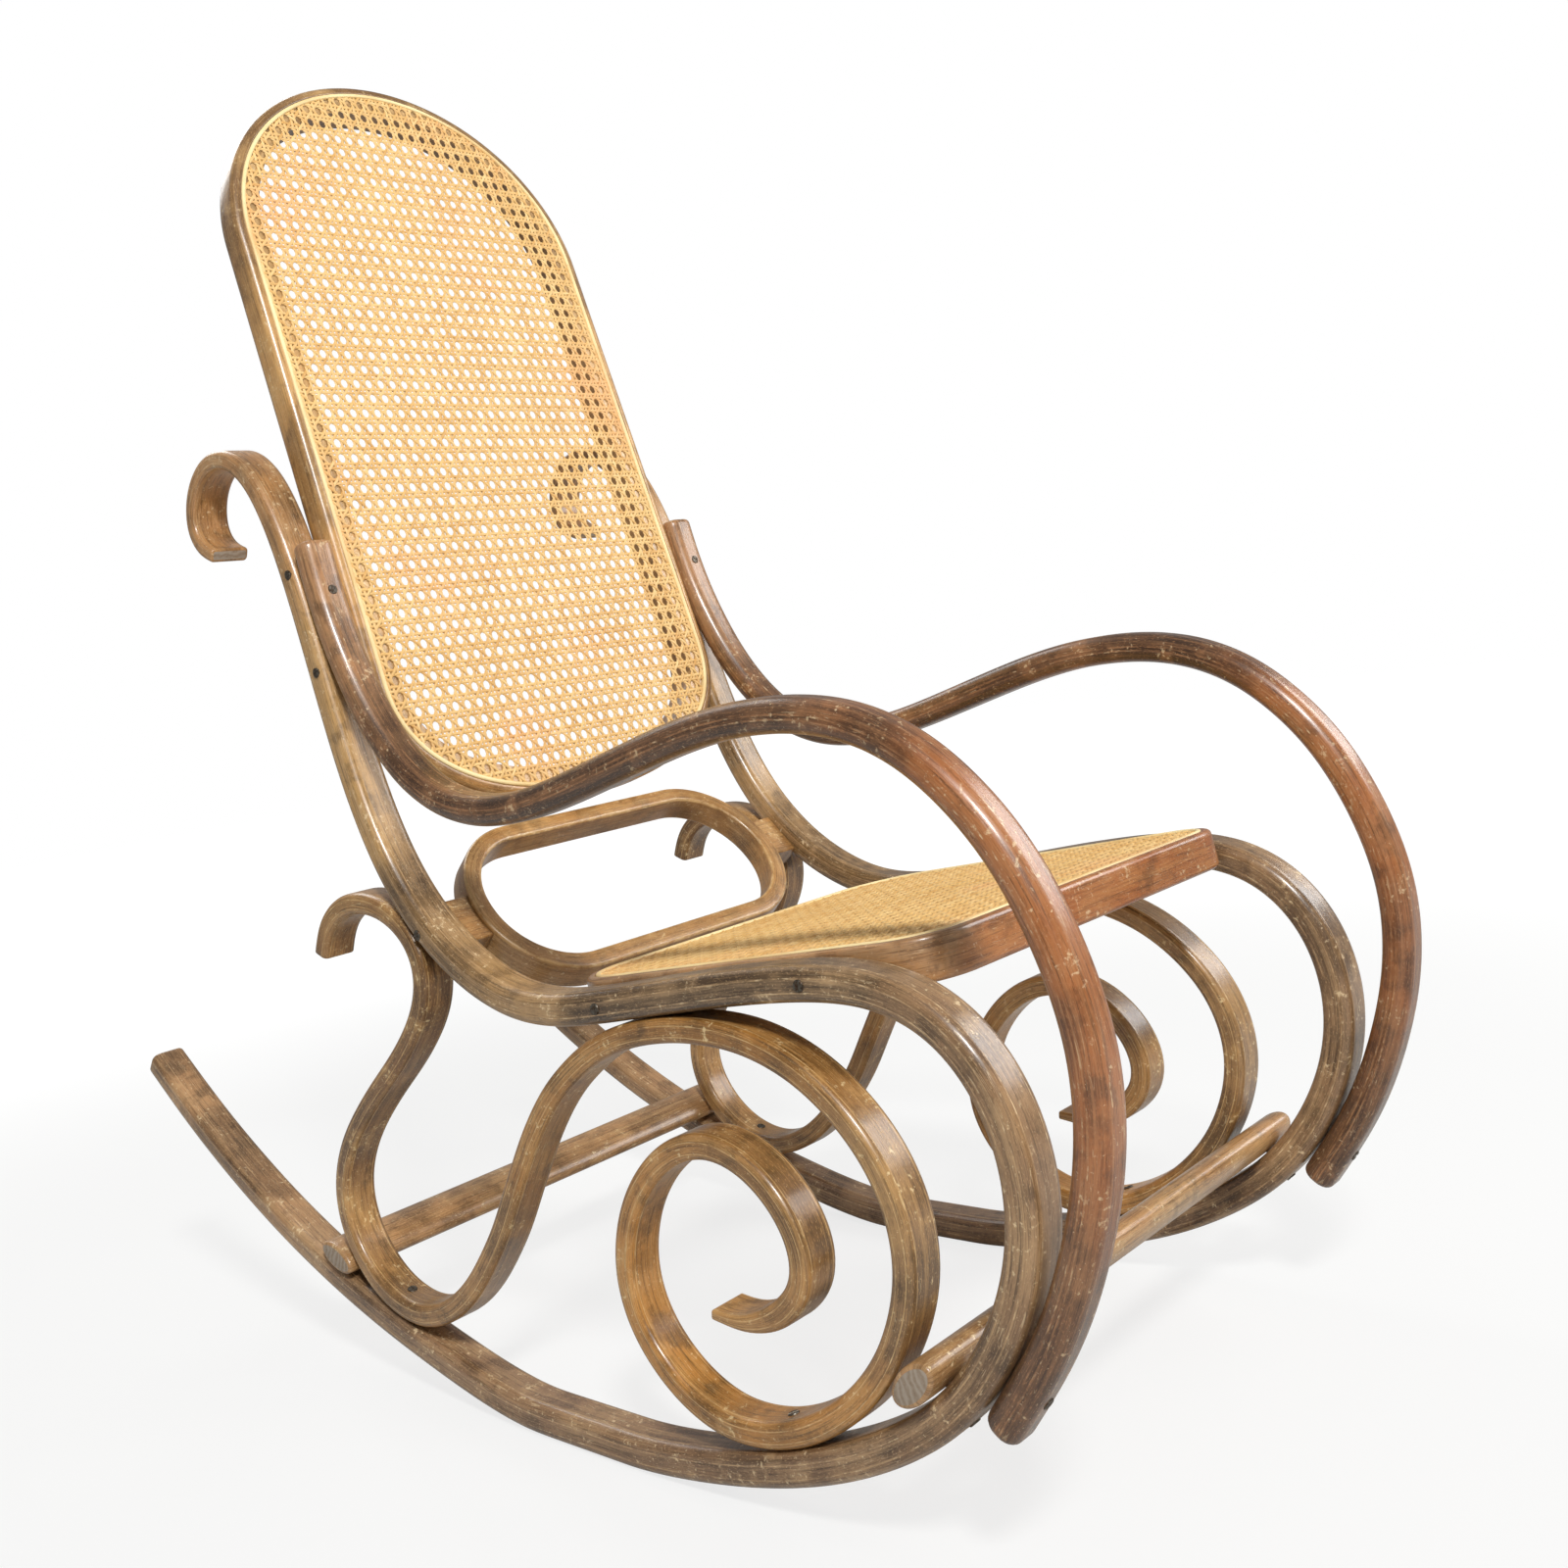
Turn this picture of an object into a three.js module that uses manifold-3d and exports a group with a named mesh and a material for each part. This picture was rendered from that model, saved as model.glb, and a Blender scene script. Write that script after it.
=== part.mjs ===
import * as THREE from 'three';
import Module from 'manifold-3d';

// All lengths are in millimetres. The front of the chair faces -Y, its left side is +X, the floor is z = 0.

// Overall sizes
const chairDepth = 1100;
const chairHeight = 1200;
const sideFrameSpacing = 445;
const middleShare = 0.5;
const fitGap = 0.3;
const rodSeatGap = 0.5;
const stretcherSeatGap = 0.8;
const cutOverrun = 2;
const mergeTolerance = 1e-4;

// Rod sections: width across the chair, thickness in the plane of the side frame
const runnerWidth = 34;
const runnerThickness = 24;
const curlWidth = 38;
const curlThickness = 13;
const armWidth = 32;
const armThickness = 24;
const scrollWidth = 32;
const scrollThickness = 18;
const rodCornerShare = 0.36;
const rodCornerSteps = 2;
const rodCurveTolerance = 0.75;
const rodLongestStep = 70;
const pathSampleStep = 2;
const tangentReach = 4;
const bendReach = 12;
const seatingSpread = 110;
const seatingRounds = 6;

// Rocker contact with the floor
const restFlatLength = 70;
const restDepthShare = 0.4455;

// Back hoop, its cane and its spline
const hoopPlaneDepthShare = 0.6327;
const hoopPlaneHeightShare = 0.5575;
const hoopLean = THREE.MathUtils.degToRad(15.1);
const hoopRimWidth = 9.2;
const hoopTopMargin = 15;
const hoopOverRing = 6;
const caneTopCrown = 180;
const caneBottomCrown = 120;
const caneTopPower = 2;
const caneBottomPower = 2.3;
const hoopUnderCane = 19;
const hoopDeep = 34;
const hoopEdgeRound = 5;
const edgeBevelShare = 0.3;
const caneThickness = 2.2;
const splineWidth = 4;
const splineDepth = 4.2;
const hoopArcSteps = 22;

// Seat frame, its cane and its spline
const seatTilt = THREE.MathUtils.degToRad(6.8);
const seatFrontShare = 0.112;
const seatRearShare = 0.446;
const seatTopOverRail = 13;
const seatFrameHeight = 30;
const seatFrontCorner = 46;
const seatRearCorner = 70;
const seatRim = 7;
const seatUnderCane = 36;
const seatEdgeRound = 4;
const seatCornerSteps = 7;
const seatMiddleRailShares = [0.2835, 0.29];

// Lower back ring and the two blocks that carry its ends
const ringRailShares = [0.5525, 0.322];
const ringLean = THREE.MathUtils.degToRad(43);
const ringBehindRail = 9;
const ringHalfHeight = 82;
const ringEndFlat = 2;
const ringBand = 16.5;
const ringDeep = 27;
const ringEdgeRound = 4;
const ringCornerSteps = 10;
const ringBlockWidth = 25.2;
const ringBlockHeight = 44;
const ringBlockDeep = 22;
const ringBlockSteps = 6;

// Stretchers: long and short diameters of their oval sections
const frontStretcherLong = 40;
const frontStretcherShort = 22;
const frontStretcherOverhang = 10.5;
const rearStretcherLong = 44;
const rearStretcherShort = 21;
const rearStretcherOverhang = 2.5;
const stretcherSides = 20;
const stretcherEndRound = 3;
const frontStretcherShares = [0.127, 0.0875];
const rearStretcherShares = [0.729, 0.0625];

// Wood screws
const screwShank = 5;
const screwHead = 9;
const screwHeadHeight = 3.2;
const screwBite = 14;
const screwTip = 2;
const hoopLowScrewRise = -60;
const hoopHighScrewRise = 30;
const hoopScrewDepth = 26;
const screwSides = 8;
const seatFrontScrewShares = [0.19, 0.3];
const seatRearScrewShares = [0.37, 0.278];


// Gaps in the cane nets
const caneGap = 34;
const backPitchAcross = 52;
const backPitchUp = 54;
const seatPitchAcross = 52;
const seatPitchDeep = 52;
const netEdge = 8;

// Runner: rocker, front bend, seat rail, back post and curl, as shares of depth from the front and of height
const runnerTailShares = [
  [0.996, 0.204], [0.936, 0.163], [0.875, 0.128], [0.811, 0.096],
  [0.745, 0.069], [0.676, 0.046], [0.608, 0.0288], [0.555, 0.0168],
];
const runnerFrontShares = [
  [0.318, 0.017], [0.246, 0.031], [0.178, 0.055], [0.1165, 0.0905],
  [0.0725, 0.1455], [0.057, 0.2], [0.0672, 0.2495], [0.0995, 0.2858],
  [0.15, 0.3015], [0.2236, 0.2975], [0.301, 0.288], [0.3745, 0.2775],
  [0.43, 0.272], [0.482, 0.279], [0.5425, 0.309], [0.5905, 0.359],
  [0.62, 0.42], [0.6395, 0.484], [0.6555, 0.542], [0.669, 0.584],
  [0.6835, 0.619], [0.7025, 0.65], [0.727, 0.67], [0.754, 0.6765],
  [0.7795, 0.6695], [0.7975, 0.651], [0.8015, 0.628], [0.789, 0.611],
  [0.7705, 0.604],
];
const curlStartShare = 0.86;
const frontBendEndShares = [0.15, 0.3015];

// Arm, from its upper end on the post to its lower end on the front bend
const armShares = [
  [0.6445, 0.5975], [0.637, 0.568], [0.627, 0.536], [0.6127, 0.5025],
  [0.5955, 0.471], [0.5736, 0.443], [0.548, 0.421], [0.518, 0.4065],
  [0.486, 0.399], [0.452, 0.398], [0.416, 0.402], [0.381, 0.409],
  [0.345, 0.4175], [0.309, 0.426], [0.273, 0.434], [0.2355, 0.44],
  [0.199, 0.442], [0.163, 0.44], [0.129, 0.4325], [0.098, 0.4185],
  [0.071, 0.3975], [0.047, 0.371], [0.03, 0.341], [0.0175, 0.308],
  [0.011, 0.275], [0.0125, 0.242], [0.0205, 0.21], [0.034, 0.18],
  [0.051, 0.151], [0.073, 0.1215], [0.1035, 0.0862],
];

const armTopShares = [0.6445, 0.5975];
const armFootShares = [0.085, 0.108];

// Scroll, from its rear curl on the post to the end of its inner spiral
const scrollShares = [
  [0.6955, 0.2985], [0.688, 0.318], [0.664, 0.331], [0.631, 0.327],
  [0.603, 0.3125], [0.5845, 0.294], [0.578, 0.274], [0.5845, 0.254],
  [0.6, 0.2367], [0.62, 0.2208], [0.6436, 0.205], [0.6664, 0.1875],
  [0.6873, 0.1683], [0.702, 0.1475], [0.709, 0.1258], [0.7055, 0.1025],
  [0.691, 0.0805], [0.669, 0.0635], [0.6435, 0.0545], [0.6175, 0.0525],
  [0.592, 0.059], [0.5675, 0.071], [0.5455, 0.0875], [0.5265, 0.1067],
  [0.509, 0.126], [0.4945, 0.1467], [0.48, 0.1667], [0.4655, 0.1867],
  [0.449, 0.2058], [0.431, 0.2233], [0.41, 0.2383], [0.387, 0.252],
  [0.362, 0.262], [0.3345, 0.2683], [0.3055, 0.2715], [0.2765, 0.271],
  [0.2482, 0.2675], [0.221, 0.2592], [0.1973, 0.2475], [0.1764, 0.2317],
  [0.159, 0.2125], [0.1482, 0.1917], [0.1436, 0.1683], [0.1464, 0.145],
  [0.1555, 0.1225], [0.169, 0.101], [0.1873, 0.0817], [0.209, 0.065],
  [0.2336, 0.0517], [0.259, 0.0433], [0.2864, 0.04], [0.3127, 0.0425],
  [0.3373, 0.0525], [0.359, 0.0683], [0.3755, 0.0892], [0.382, 0.1133],
  [0.378, 0.1375], [0.3664, 0.1608], [0.348, 0.1808], [0.3255, 0.1958],
  [0.3, 0.204], [0.2745, 0.2025], [0.25, 0.1917], [0.231, 0.1733],
  [0.222, 0.1517], [0.2264, 0.1308], [0.247, 0.114], [0.276, 0.105],
  [0.302, 0.1083],
];
const scrollPostShares = [0.645, 0.33];
const scrollRailShares = [0.33, 0.268];
const scrollRearLoopShares = [0.6175, 0.0525];
const scrollFrontLoopShares = [0.2864, 0.04];

// Colours, roughness and metalness
const finishes = {
  rocker: { color: 0x6e5b45, roughness: 0.55, metalness: 0 },
  arm: { color: 0x8a5c3c, roughness: 0.5, metalness: 0 },
  scroll: { color: 0x80603c, roughness: 0.5, metalness: 0 },
  hoop: { color: 0x8b6b46, roughness: 0.5, metalness: 0 },
  seat: { color: 0x85502c, roughness: 0.5, metalness: 0 },
  stretcher: { color: 0x7d6447, roughness: 0.6, metalness: 0 },
  cane: { color: 0xe6c583, roughness: 0.6, metalness: 0 },
  spline: { color: 0xe0c48c, roughness: 0.5, metalness: 0 },
  screw: { color: 0x4a453d, roughness: 0.4, metalness: 0.9 },
};

const wasm = await Module();
wasm.setup();

function toManifold(geometry) {
  const position = geometry.getAttribute('position');
  const index = geometry.index;
  const merged = new Map();
  const places = [];
  const renumbered = [];
  for (let i = 0; i < position.count; i += 1) {
    const place = [position.getX(i), position.getY(i), position.getZ(i)];
    const key = place.map((value) => Math.round(value / mergeTolerance)).join();
    if (!merged.has(key)) {
      merged.set(key, places.length / 3);
      places.push(...place);
    }
    renumbered.push(merged.get(key));
  }
  const corners = index ? Array.from(index.array) : renumbered.map((_, i) => i);
  const triangles = [];
  for (let i = 0; i < corners.length; i += 3) {
    const [a, b, c] = [renumbered[corners[i]], renumbered[corners[i + 1]], renumbered[corners[i + 2]]];
    if (a !== b && b !== c && c !== a) triangles.push(a, b, c);
  }
  return new wasm.Manifold(new wasm.Mesh({
    numProp: 3,
    vertProperties: new Float32Array(places),
    triVerts: new Uint32Array(triangles),
  }));
}

function toGeometry(manifold) {
  const mesh = manifold.getMesh();
  const geometry = new THREE.BufferGeometry();
  const places = new Float32Array(mesh.numVert * 3);
  for (let i = 0; i < mesh.numVert; i += 1) {
    places.set(mesh.vertProperties.subarray(i * mesh.numProp, i * mesh.numProp + 3), i * 3);
  }
  geometry.setAttribute('position', new THREE.BufferAttribute(places, 3));
  geometry.setIndex(Array.from(mesh.triVerts));
  return finished(geometry);
}

function finished(geometry) {
  const flat = geometry.index ? geometry.toNonIndexed() : geometry;
  flat.deleteAttribute('uv');
  flat.computeVertexNormals();
  return flat;
}

// Places in the side plane: (y, z) with y measured from the middle of the chair
function sidePlace([depthShare, heightShare]) {
  return new THREE.Vector2((depthShare - middleShare) * chairDepth, heightShare * chairHeight);
}

// A smooth path drawn by its control places, as a cubic B-spline that starts and ends on the first and last
class BentPath {
  constructor(places) {
    this.places = places;
    this.trace();
  }

  at(span, t) {
    const last = this.places.length - 1;
    const pick = (i) => {
      if (i < 0) return this.places[0].clone().multiplyScalar(2).sub(this.places[-i]);
      if (i > last) return this.places[last].clone().multiplyScalar(2).sub(this.places[2 * last - i]);
      return this.places[i];
    };
    const weights = [
      (1 - t) ** 3 / 6,
      (3 * t ** 3 - 6 * t ** 2 + 4) / 6,
      (-3 * t ** 3 + 3 * t ** 2 + 3 * t + 1) / 6,
      t ** 3 / 6,
    ];
    const point = new THREE.Vector2();
    weights.forEach((weight, k) => point.addScaledVector(pick(span + k - 1), weight));
    return point;
  }

  trace() {
    this.points = [];
    const spans = this.places.length - 1;
    for (let span = 0; span < spans; span += 1) {
      const steps = Math.ceil(this.places[span].distanceTo(this.places[span + 1]) / pathSampleStep);
      for (let k = 0; k < steps; k += 1) this.points.push(this.at(span, k / steps));
    }
    this.points.push(this.at(spans - 1, 1));
    this.runs = [0];
    for (let i = 1; i < this.points.length; i += 1) {
      this.runs.push(this.runs[i - 1] + this.points[i].distanceTo(this.points[i - 1]));
    }
    this.length = this.runs[this.runs.length - 1];
  }

  sample(run) {
    const wanted = Math.min(Math.max(run, 0), this.length);
    let low = 0;
    let high = this.runs.length - 1;
    while (high - low > 1) {
      const middle = (low + high) >> 1;
      if (this.runs[middle] <= wanted) low = middle;
      else high = middle;
    }
    const t = (wanted - this.runs[low]) / (this.runs[high] - this.runs[low]);
    return this.points[low].clone().lerp(this.points[high], t);
  }

  tangent(run) {
    const ahead = this.sample(run + tangentReach);
    return ahead.sub(this.sample(run - tangentReach)).normalize();
  }

  normal(run) {
    const tangent = this.tangent(run);
    return new THREE.Vector2(-tangent.y, tangent.x);
  }

  nearest(place, from = 0, to = this.length) {
    let best = { distance: Infinity, run: from };
    this.points.forEach((point, i) => {
      const run = this.runs[i];
      const distance = point.distanceTo(place);
      if (run >= from && run <= to && distance < best.distance) best = { distance, run };
    });
    return best;
  }

  // Runs at which rings are placed: close together in tight bends, far apart on straight stretches
  rings() {
    const counts = [0];
    for (let i = 1; i < this.points.length; i += 1) {
      const run = this.runs[i];
      const turn = this.tangent(run - bendReach).angleTo(this.tangent(run + bendReach));
      const radius = turn > 0 ? 2 * bendReach / turn : Infinity;
      const step = Math.min(rodLongestStep, Math.sqrt(8 * radius * rodCurveTolerance));
      counts.push(counts[i - 1] + (this.runs[i] - this.runs[i - 1]) / step);
    }
    const total = Math.ceil(counts[counts.length - 1]);
    const runs = [0];
    let i = 1;
    for (let ring = 1; ring < total; ring += 1) {
      const wanted = ring * counts[counts.length - 1] / total;
      while (counts[i] < wanted) i += 1;
      runs.push(this.runs[i]);
    }
    runs.push(this.length);
    return runs;
  }
}

// The runs at which two paths come closest, near one place of the first and on a stretch of the other
function contactOf(path, other, { near, from, to }) {
  const middle = path.nearest(near).run;
  const last = Math.min(path.length, middle + seatingSpread);
  let best = { distance: Infinity };
  for (let run = Math.max(0, middle - seatingSpread); run <= last; run += pathSampleStep) {
    const hit = other.nearest(path.sample(run), from, to);
    if (hit.distance < best.distance) best = { distance: hit.distance, run, otherRun: hit.run };
  }
  return best;
}

// Bends a path near some places until its middle line stands at a given distance from another path
function seatAgainst(path, other, distance, seats) {
  for (let round = 0; round < seatingRounds; round += 1) {
    seats.forEach((seat) => {
      const contact = contactOf(path, other, seat);
      const away = path.sample(contact.run).sub(other.sample(contact.otherRun)).normalize();
      const push = distance - contact.distance;
      path.places.forEach((place) => {
        const along = path.nearest(place).run - contact.run;
        place.addScaledVector(away, push * Math.exp(-((along / seatingSpread) ** 2)));
      });
      path.trace();
    });
  }
}

// A rounded oblong section: [across, thick] corners in turn
function oblongSection(width, thickness) {
  const radius = rodCornerShare * thickness;
  const corners = [];
  [[1, -1, -90], [1, 1, 0], [-1, 1, 90], [-1, -1, 180]].forEach(([sx, sy, start]) => {
    for (let k = 0; k <= rodCornerSteps; k += 1) {
      const angle = THREE.MathUtils.degToRad(start + 90 * k / rodCornerSteps);
      corners.push([
        sx * (width / 2 - radius) + radius * Math.cos(angle),
        sy * (thickness / 2 - radius) + radius * Math.sin(angle),
      ]);
    }
  });
  return corners;
}

// Joins rings of equal corner counts into a closed skin with flat ends
function skin(rings, closed) {
  const count = rings[0].length;
  const places = rings.flat().flatMap((point) => [point.x, point.y, point.z]);
  const index = [];
  const spans = closed ? rings.length : rings.length - 1;
  for (let i = 0; i < spans; i += 1) {
    const next = (i + 1) % rings.length;
    for (let k = 0; k < count; k += 1) {
      const turn = (k + 1) % count;
      const [a, b, c, d] = [i * count + k, i * count + turn, next * count + turn, next * count + k];
      index.push(a, b, c, a, c, d);
    }
  }
  if (!closed) {
    const last = (rings.length - 1) * count;
    for (let k = 1; k < count - 1; k += 1) {
      index.push(0, k + 1, k);
      index.push(last, last + k, last + k + 1);
    }
  }
  const geometry = new THREE.BufferGeometry();
  geometry.setAttribute('position', new THREE.Float32BufferAttribute(places, 3));
  geometry.setIndex(index);
  return geometry;
}

function rightWayOut(geometry) {
  const manifold = toManifold(geometry);
  if (manifold.volume() > 0) return manifold;
  const turned = geometry.clone();
  const index = Array.from(geometry.index.array);
  for (let i = 0; i < index.length; i += 3) [index[i], index[i + 1]] = [index[i + 1], index[i]];
  turned.setIndex(index);
  return toManifold(turned);
}

// A bent rod that follows a path in the plane x = sideX
function bentRod(path, sideX, sizeAt) {
  const rings = path.rings().map((run) => {
    const { width, thickness } = sizeAt(run / path.length);
    const middle = path.sample(run);
    const normal = path.normal(run);
    return oblongSection(width, thickness).map(([across, thick]) => new THREE.Vector3(
      sideX + across,
      middle.x + normal.x * thick,
      middle.y + normal.y * thick,
    ));
  });
  return rightWayOut(skin(rings, false));
}

// A band swept round a closed outline: section corners are [inward, forward] from the outline
function bandGeometry(outline, section) {
  const count = outline.length;
  const rings = outline.map((point, i) => {
    const before = outline[(i + count - 1) % count];
    const after = outline[(i + 1) % count];
    const tangent = after.clone().sub(before).normalize();
    const inward = new THREE.Vector2(-tangent.y, tangent.x);
    return section.map(([inset, forward]) => new THREE.Vector3(
      point.x + inward.x * inset,
      point.y + inward.y * inset,
      forward,
    ));
  });
  return skin(rings, true);
}

// An outline moved inwards by a given inset
function insetOutline(outline, inset) {
  const count = outline.length;
  return outline.map((point, i) => {
    const tangent = outline[(i + 1) % count].clone().sub(outline[(i + count - 1) % count]).normalize();
    return new THREE.Vector2(point.x - tangent.y * inset, point.y + tangent.x * inset);
  });
}

// The section of a frame member: rounded outside edges, a seat for the cane and a groove for its spline
function frameSection(rim, underCane, deep, round) {
  const cane = caneThickness + fitGap;
  const groove = splineDepth + fitGap;
  const grooveIn = rim + splineWidth + 2 * fitGap;
  const inner = rim + underCane;
  return [
    [0, -round],
    [round * edgeBevelShare, -round * edgeBevelShare],
    [round, 0],
    [rim, 0],
    [rim, -groove],
    [grooveIn, -groove],
    [grooveIn, -cane],
    [inner, -cane],
    [inner, -deep + round],
    [inner - round, -deep],
    [round, -deep],
    [0, -deep + round],
  ];
}

function splineSection(rim) {
  const outer = rim + fitGap;
  const inner = outer + splineWidth;
  return [[outer, 0], [inner, 0], [inner, -splineDepth], [outer, -splineDepth]];
}

// Cane sheet with its net of gaps, lying below z = 0 of the frame it is placed in
function caneNet(outline, pitchAcross, pitchUp, frame) {
  const sheet = new THREE.ExtrudeGeometry(new THREE.Shape(outline), {
    depth: caneThickness,
    bevelEnabled: false,
  });
  sheet.translate(0, 0, -caneThickness);
  const inner = new THREE.Shape(insetOutline(outline, netEdge)).getPoints();
  const inside = (place) => inner.reduce((odd, a, i) => {
    const b = inner[(i + 1) % inner.length];
    const crosses = (a.y > place.y) !== (b.y > place.y);
    return crosses && place.x < (b.x - a.x) * (place.y - a.y) / (b.y - a.y) + a.x ? !odd : odd;
  }, false);
  const box = new THREE.Box2().setFromPoints(outline);
  const size = box.getSize(new THREE.Vector2());
  const centre = box.getCenter(new THREE.Vector2());
  const across = Math.floor(size.x / pitchAcross);
  const up = Math.floor(size.y / pitchUp);
  const gaps = [];
  for (let i = 0; i < across; i += 1) {
    for (let j = 0; j < up; j += 1) {
      const middle = new THREE.Vector2(
        centre.x + (i - (across - 1) / 2) * pitchAcross,
        centre.y + (j - (up - 1) / 2) * pitchUp,
      );
      const corners = [[-1, -1], [-1, 1], [1, 1], [1, -1]].map(([sx, sy]) => new THREE.Vector2(
        middle.x + sx * caneGap / 2,
        middle.y + sy * caneGap / 2,
      ));
      if (corners.every(inside)) {
        const gap = new THREE.BoxGeometry(caneGap, caneGap, caneThickness + 2 * cutOverrun);
        gap.translate(middle.x, middle.y, -caneThickness / 2);
        gaps.push(toManifold(placed(gap, frame)));
      }
    }
  }
  return toManifold(placed(sheet, frame)).subtract(wasm.Manifold.union(gaps));
}

// The outline of the back cane, anticlockwise seen from the front
function caneOutline(grow) {
  const points = [];
  const half = caneHalfWidth + grow;
  const crown = (power, reach, turnFrom, centre, sign) => {
    for (let k = 0; k < hoopArcSteps; k += 1) {
      const angle = turnFrom + Math.PI * k / hoopArcSteps;
      const c = Math.cos(angle);
      const s = Math.sin(angle);
      points.push(new THREE.Vector2(
        Math.sign(c) * half * Math.abs(c) ** (2 / power),
        centre + sign * (reach + grow) * Math.abs(s) ** (2 / power),
      ));
    }
  };
  crown(caneTopPower, caneTopCrown, 0, caneTopRise - caneTopCrown, 1);
  crown(caneBottomPower, caneBottomCrown, Math.PI, caneBottomCrown - caneBottomDrop, -1);
  return points;
}

// A rectangle with rounded corners, anticlockwise, given by its half width, its two ends and its corner sizes
function roundedOutline(halfWidth, low, high, lowCorner, highCorner, steps) {
  const points = [];
  [
    [halfWidth - highCorner, high - highCorner, highCorner, 0],
    [-halfWidth + highCorner, high - highCorner, highCorner, 90],
    [-halfWidth + lowCorner, low + lowCorner, lowCorner, 180],
    [halfWidth - lowCorner, low + lowCorner, lowCorner, 270],
  ].forEach(([x, y, radius, start]) => {
    for (let k = 0; k <= steps; k += 1) {
      const angle = THREE.MathUtils.degToRad(start + 90 * k / steps);
      points.push(new THREE.Vector2(x + radius * Math.cos(angle), y + radius * Math.sin(angle)));
    }
  });
  return points;
}

// The paths of one side frame
const restPlaces = [2, 1, 0, -1, -2].map((step) => new THREE.Vector2(
  (restDepthShare - middleShare) * chairDepth + step * restFlatLength / 2,
  runnerThickness / 2,
));
const runnerPath = new BentPath([
  ...runnerTailShares.map(sidePlace),
  ...restPlaces,
  ...runnerFrontShares.map(sidePlace),
]);
const armPath = new BentPath(armShares.map(sidePlace));
const scrollPath = new BentPath(scrollShares.map(sidePlace));

const bendEnd = runnerPath.nearest(sidePlace(frontBendEndShares)).run;
const armTop = { near: sidePlace(armTopShares), from: bendEnd };
const armFoot = { near: sidePlace(armFootShares), to: bendEnd };
const scrollPost = { near: sidePlace(scrollPostShares), from: bendEnd };
const scrollRail = { near: sidePlace(scrollRailShares), from: bendEnd };
const scrollRear = { near: sidePlace(scrollRearLoopShares), to: bendEnd };
const scrollFront = { near: sidePlace(scrollFrontLoopShares), to: bendEnd };
seatAgainst(armPath, runnerPath, (runnerThickness + armThickness) / 2 + rodSeatGap, [armTop, armFoot]);
seatAgainst(
  scrollPath,
  runnerPath,
  (runnerThickness + scrollThickness) / 2 + rodSeatGap,
  [scrollPost, scrollRail, scrollRear, scrollFront],
);

// Pieces in the room's own frame
const pieces = new Map();

function addPiece(name, manifold, finish, group) {
  pieces.set(name, { manifold, finish, group });
}

function placed(geometry, matrix) {
  const copy = geometry.clone();
  copy.applyMatrix4(matrix);
  return copy;
}

function cutFrom(name, cutter) {
  const piece = pieces.get(name);
  piece.manifold = piece.manifold.subtract(cutter);
}

function turnedPart(profile, start, direction) {
  const outline = profile.map(([radius, along]) => new THREE.Vector2(radius, along));
  const lathe = new THREE.LatheGeometry(outline, screwSides);
  const turn = new THREE.Quaternion().setFromUnitVectors(new THREE.Vector3(0, 1, 0), direction);
  const matrix = new THREE.Matrix4().compose(start, turn, new THREE.Vector3(1, 1, 1));
  lathe.deleteAttribute('uv');
  lathe.deleteAttribute('normal');
  return rightWayOut(placed(lathe, matrix));
}

// A countersunk wood screw whose head lies flush at start, with its hole cut in every piece it passes through
function woodScrew(name, start, direction, length, through, group) {
  const shank = screwShank / 2;
  const head = screwHead / 2;
  const way = direction.clone().normalize();
  const screw = turnedPart([
    [0, fitGap],
    [head, fitGap],
    [shank, screwHeadHeight],
    [shank, length - screwTip],
    [0, length],
  ], start, way);
  const hole = turnedPart([
    [0, -cutOverrun],
    [head + fitGap, -cutOverrun],
    [head + fitGap, fitGap],
    [shank + fitGap, screwHeadHeight + fitGap],
    [shank + fitGap, length - screwTip + fitGap],
    [0, length + fitGap],
  ], start, way);
  through.forEach((piece) => cutFrom(piece, hole));
  addPiece(name, screw, 'screw', group);
}

// Frames of the back, the seat and the lower ring
const innerHalfWidth = sideFrameSpacing / 2 - runnerWidth / 2 - fitGap;
const caneHalfWidth = innerHalfWidth - hoopRimWidth;
const ringHalfWidth = innerHalfWidth - ringBlockWidth;
const ringCorner = ringHalfHeight - ringEndFlat / 2;
const hoopPlace = sidePlace([hoopPlaneDepthShare, hoopPlaneHeightShare]);
const hoopFrame = new THREE.Matrix4()
  .makeRotationX(Math.PI / 2 - hoopLean)
  .setPosition(0, hoopPlace.x, hoopPlace.y);
const ringRail = runnerPath.sample(runnerPath.nearest(sidePlace(ringRailShares), bendEnd).run);
const ringBack = new THREE.Vector2(Math.cos(ringLean), -Math.sin(ringLean));
const ringPlace = ringRail.clone().addScaledVector(ringBack, ringBehindRail);
const ringFrame = new THREE.Matrix4()
  .makeRotationX(Math.PI / 2 - ringLean)
  .setPosition(0, ringPlace.x, ringPlace.y);
const ringTop = ringPlace.y + ringHalfHeight * Math.cos(ringLean) + ringDeep / 2 * Math.sin(ringLean);
const hoopUpShare = Math.cos(hoopLean);
const hoopBackDrop = hoopDeep * Math.sin(hoopLean);
const caneTopRise = (chairHeight - hoopPlace.y) / hoopUpShare - hoopTopMargin;
const caneBottomDrop = (hoopPlace.y - ringTop - hoopOverRing - hoopBackDrop) / hoopUpShare - hoopRimWidth;
const seatHalfDepth = (seatRearShare - seatFrontShare) * chairDepth / 2 / Math.cos(seatTilt);
const railMiddle = runnerPath.sample(runnerPath.nearest(sidePlace(seatMiddleRailShares), bendEnd).run);
const seatUp = new THREE.Vector2(Math.sin(seatTilt), Math.cos(seatTilt));
const seatMiddle = railMiddle.clone().addScaledVector(seatUp, seatTopOverRail);
const seatFrame = new THREE.Matrix4()
  .makeRotationX(-seatTilt)
  .setPosition(0, seatMiddle.x, seatMiddle.y);

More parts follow.
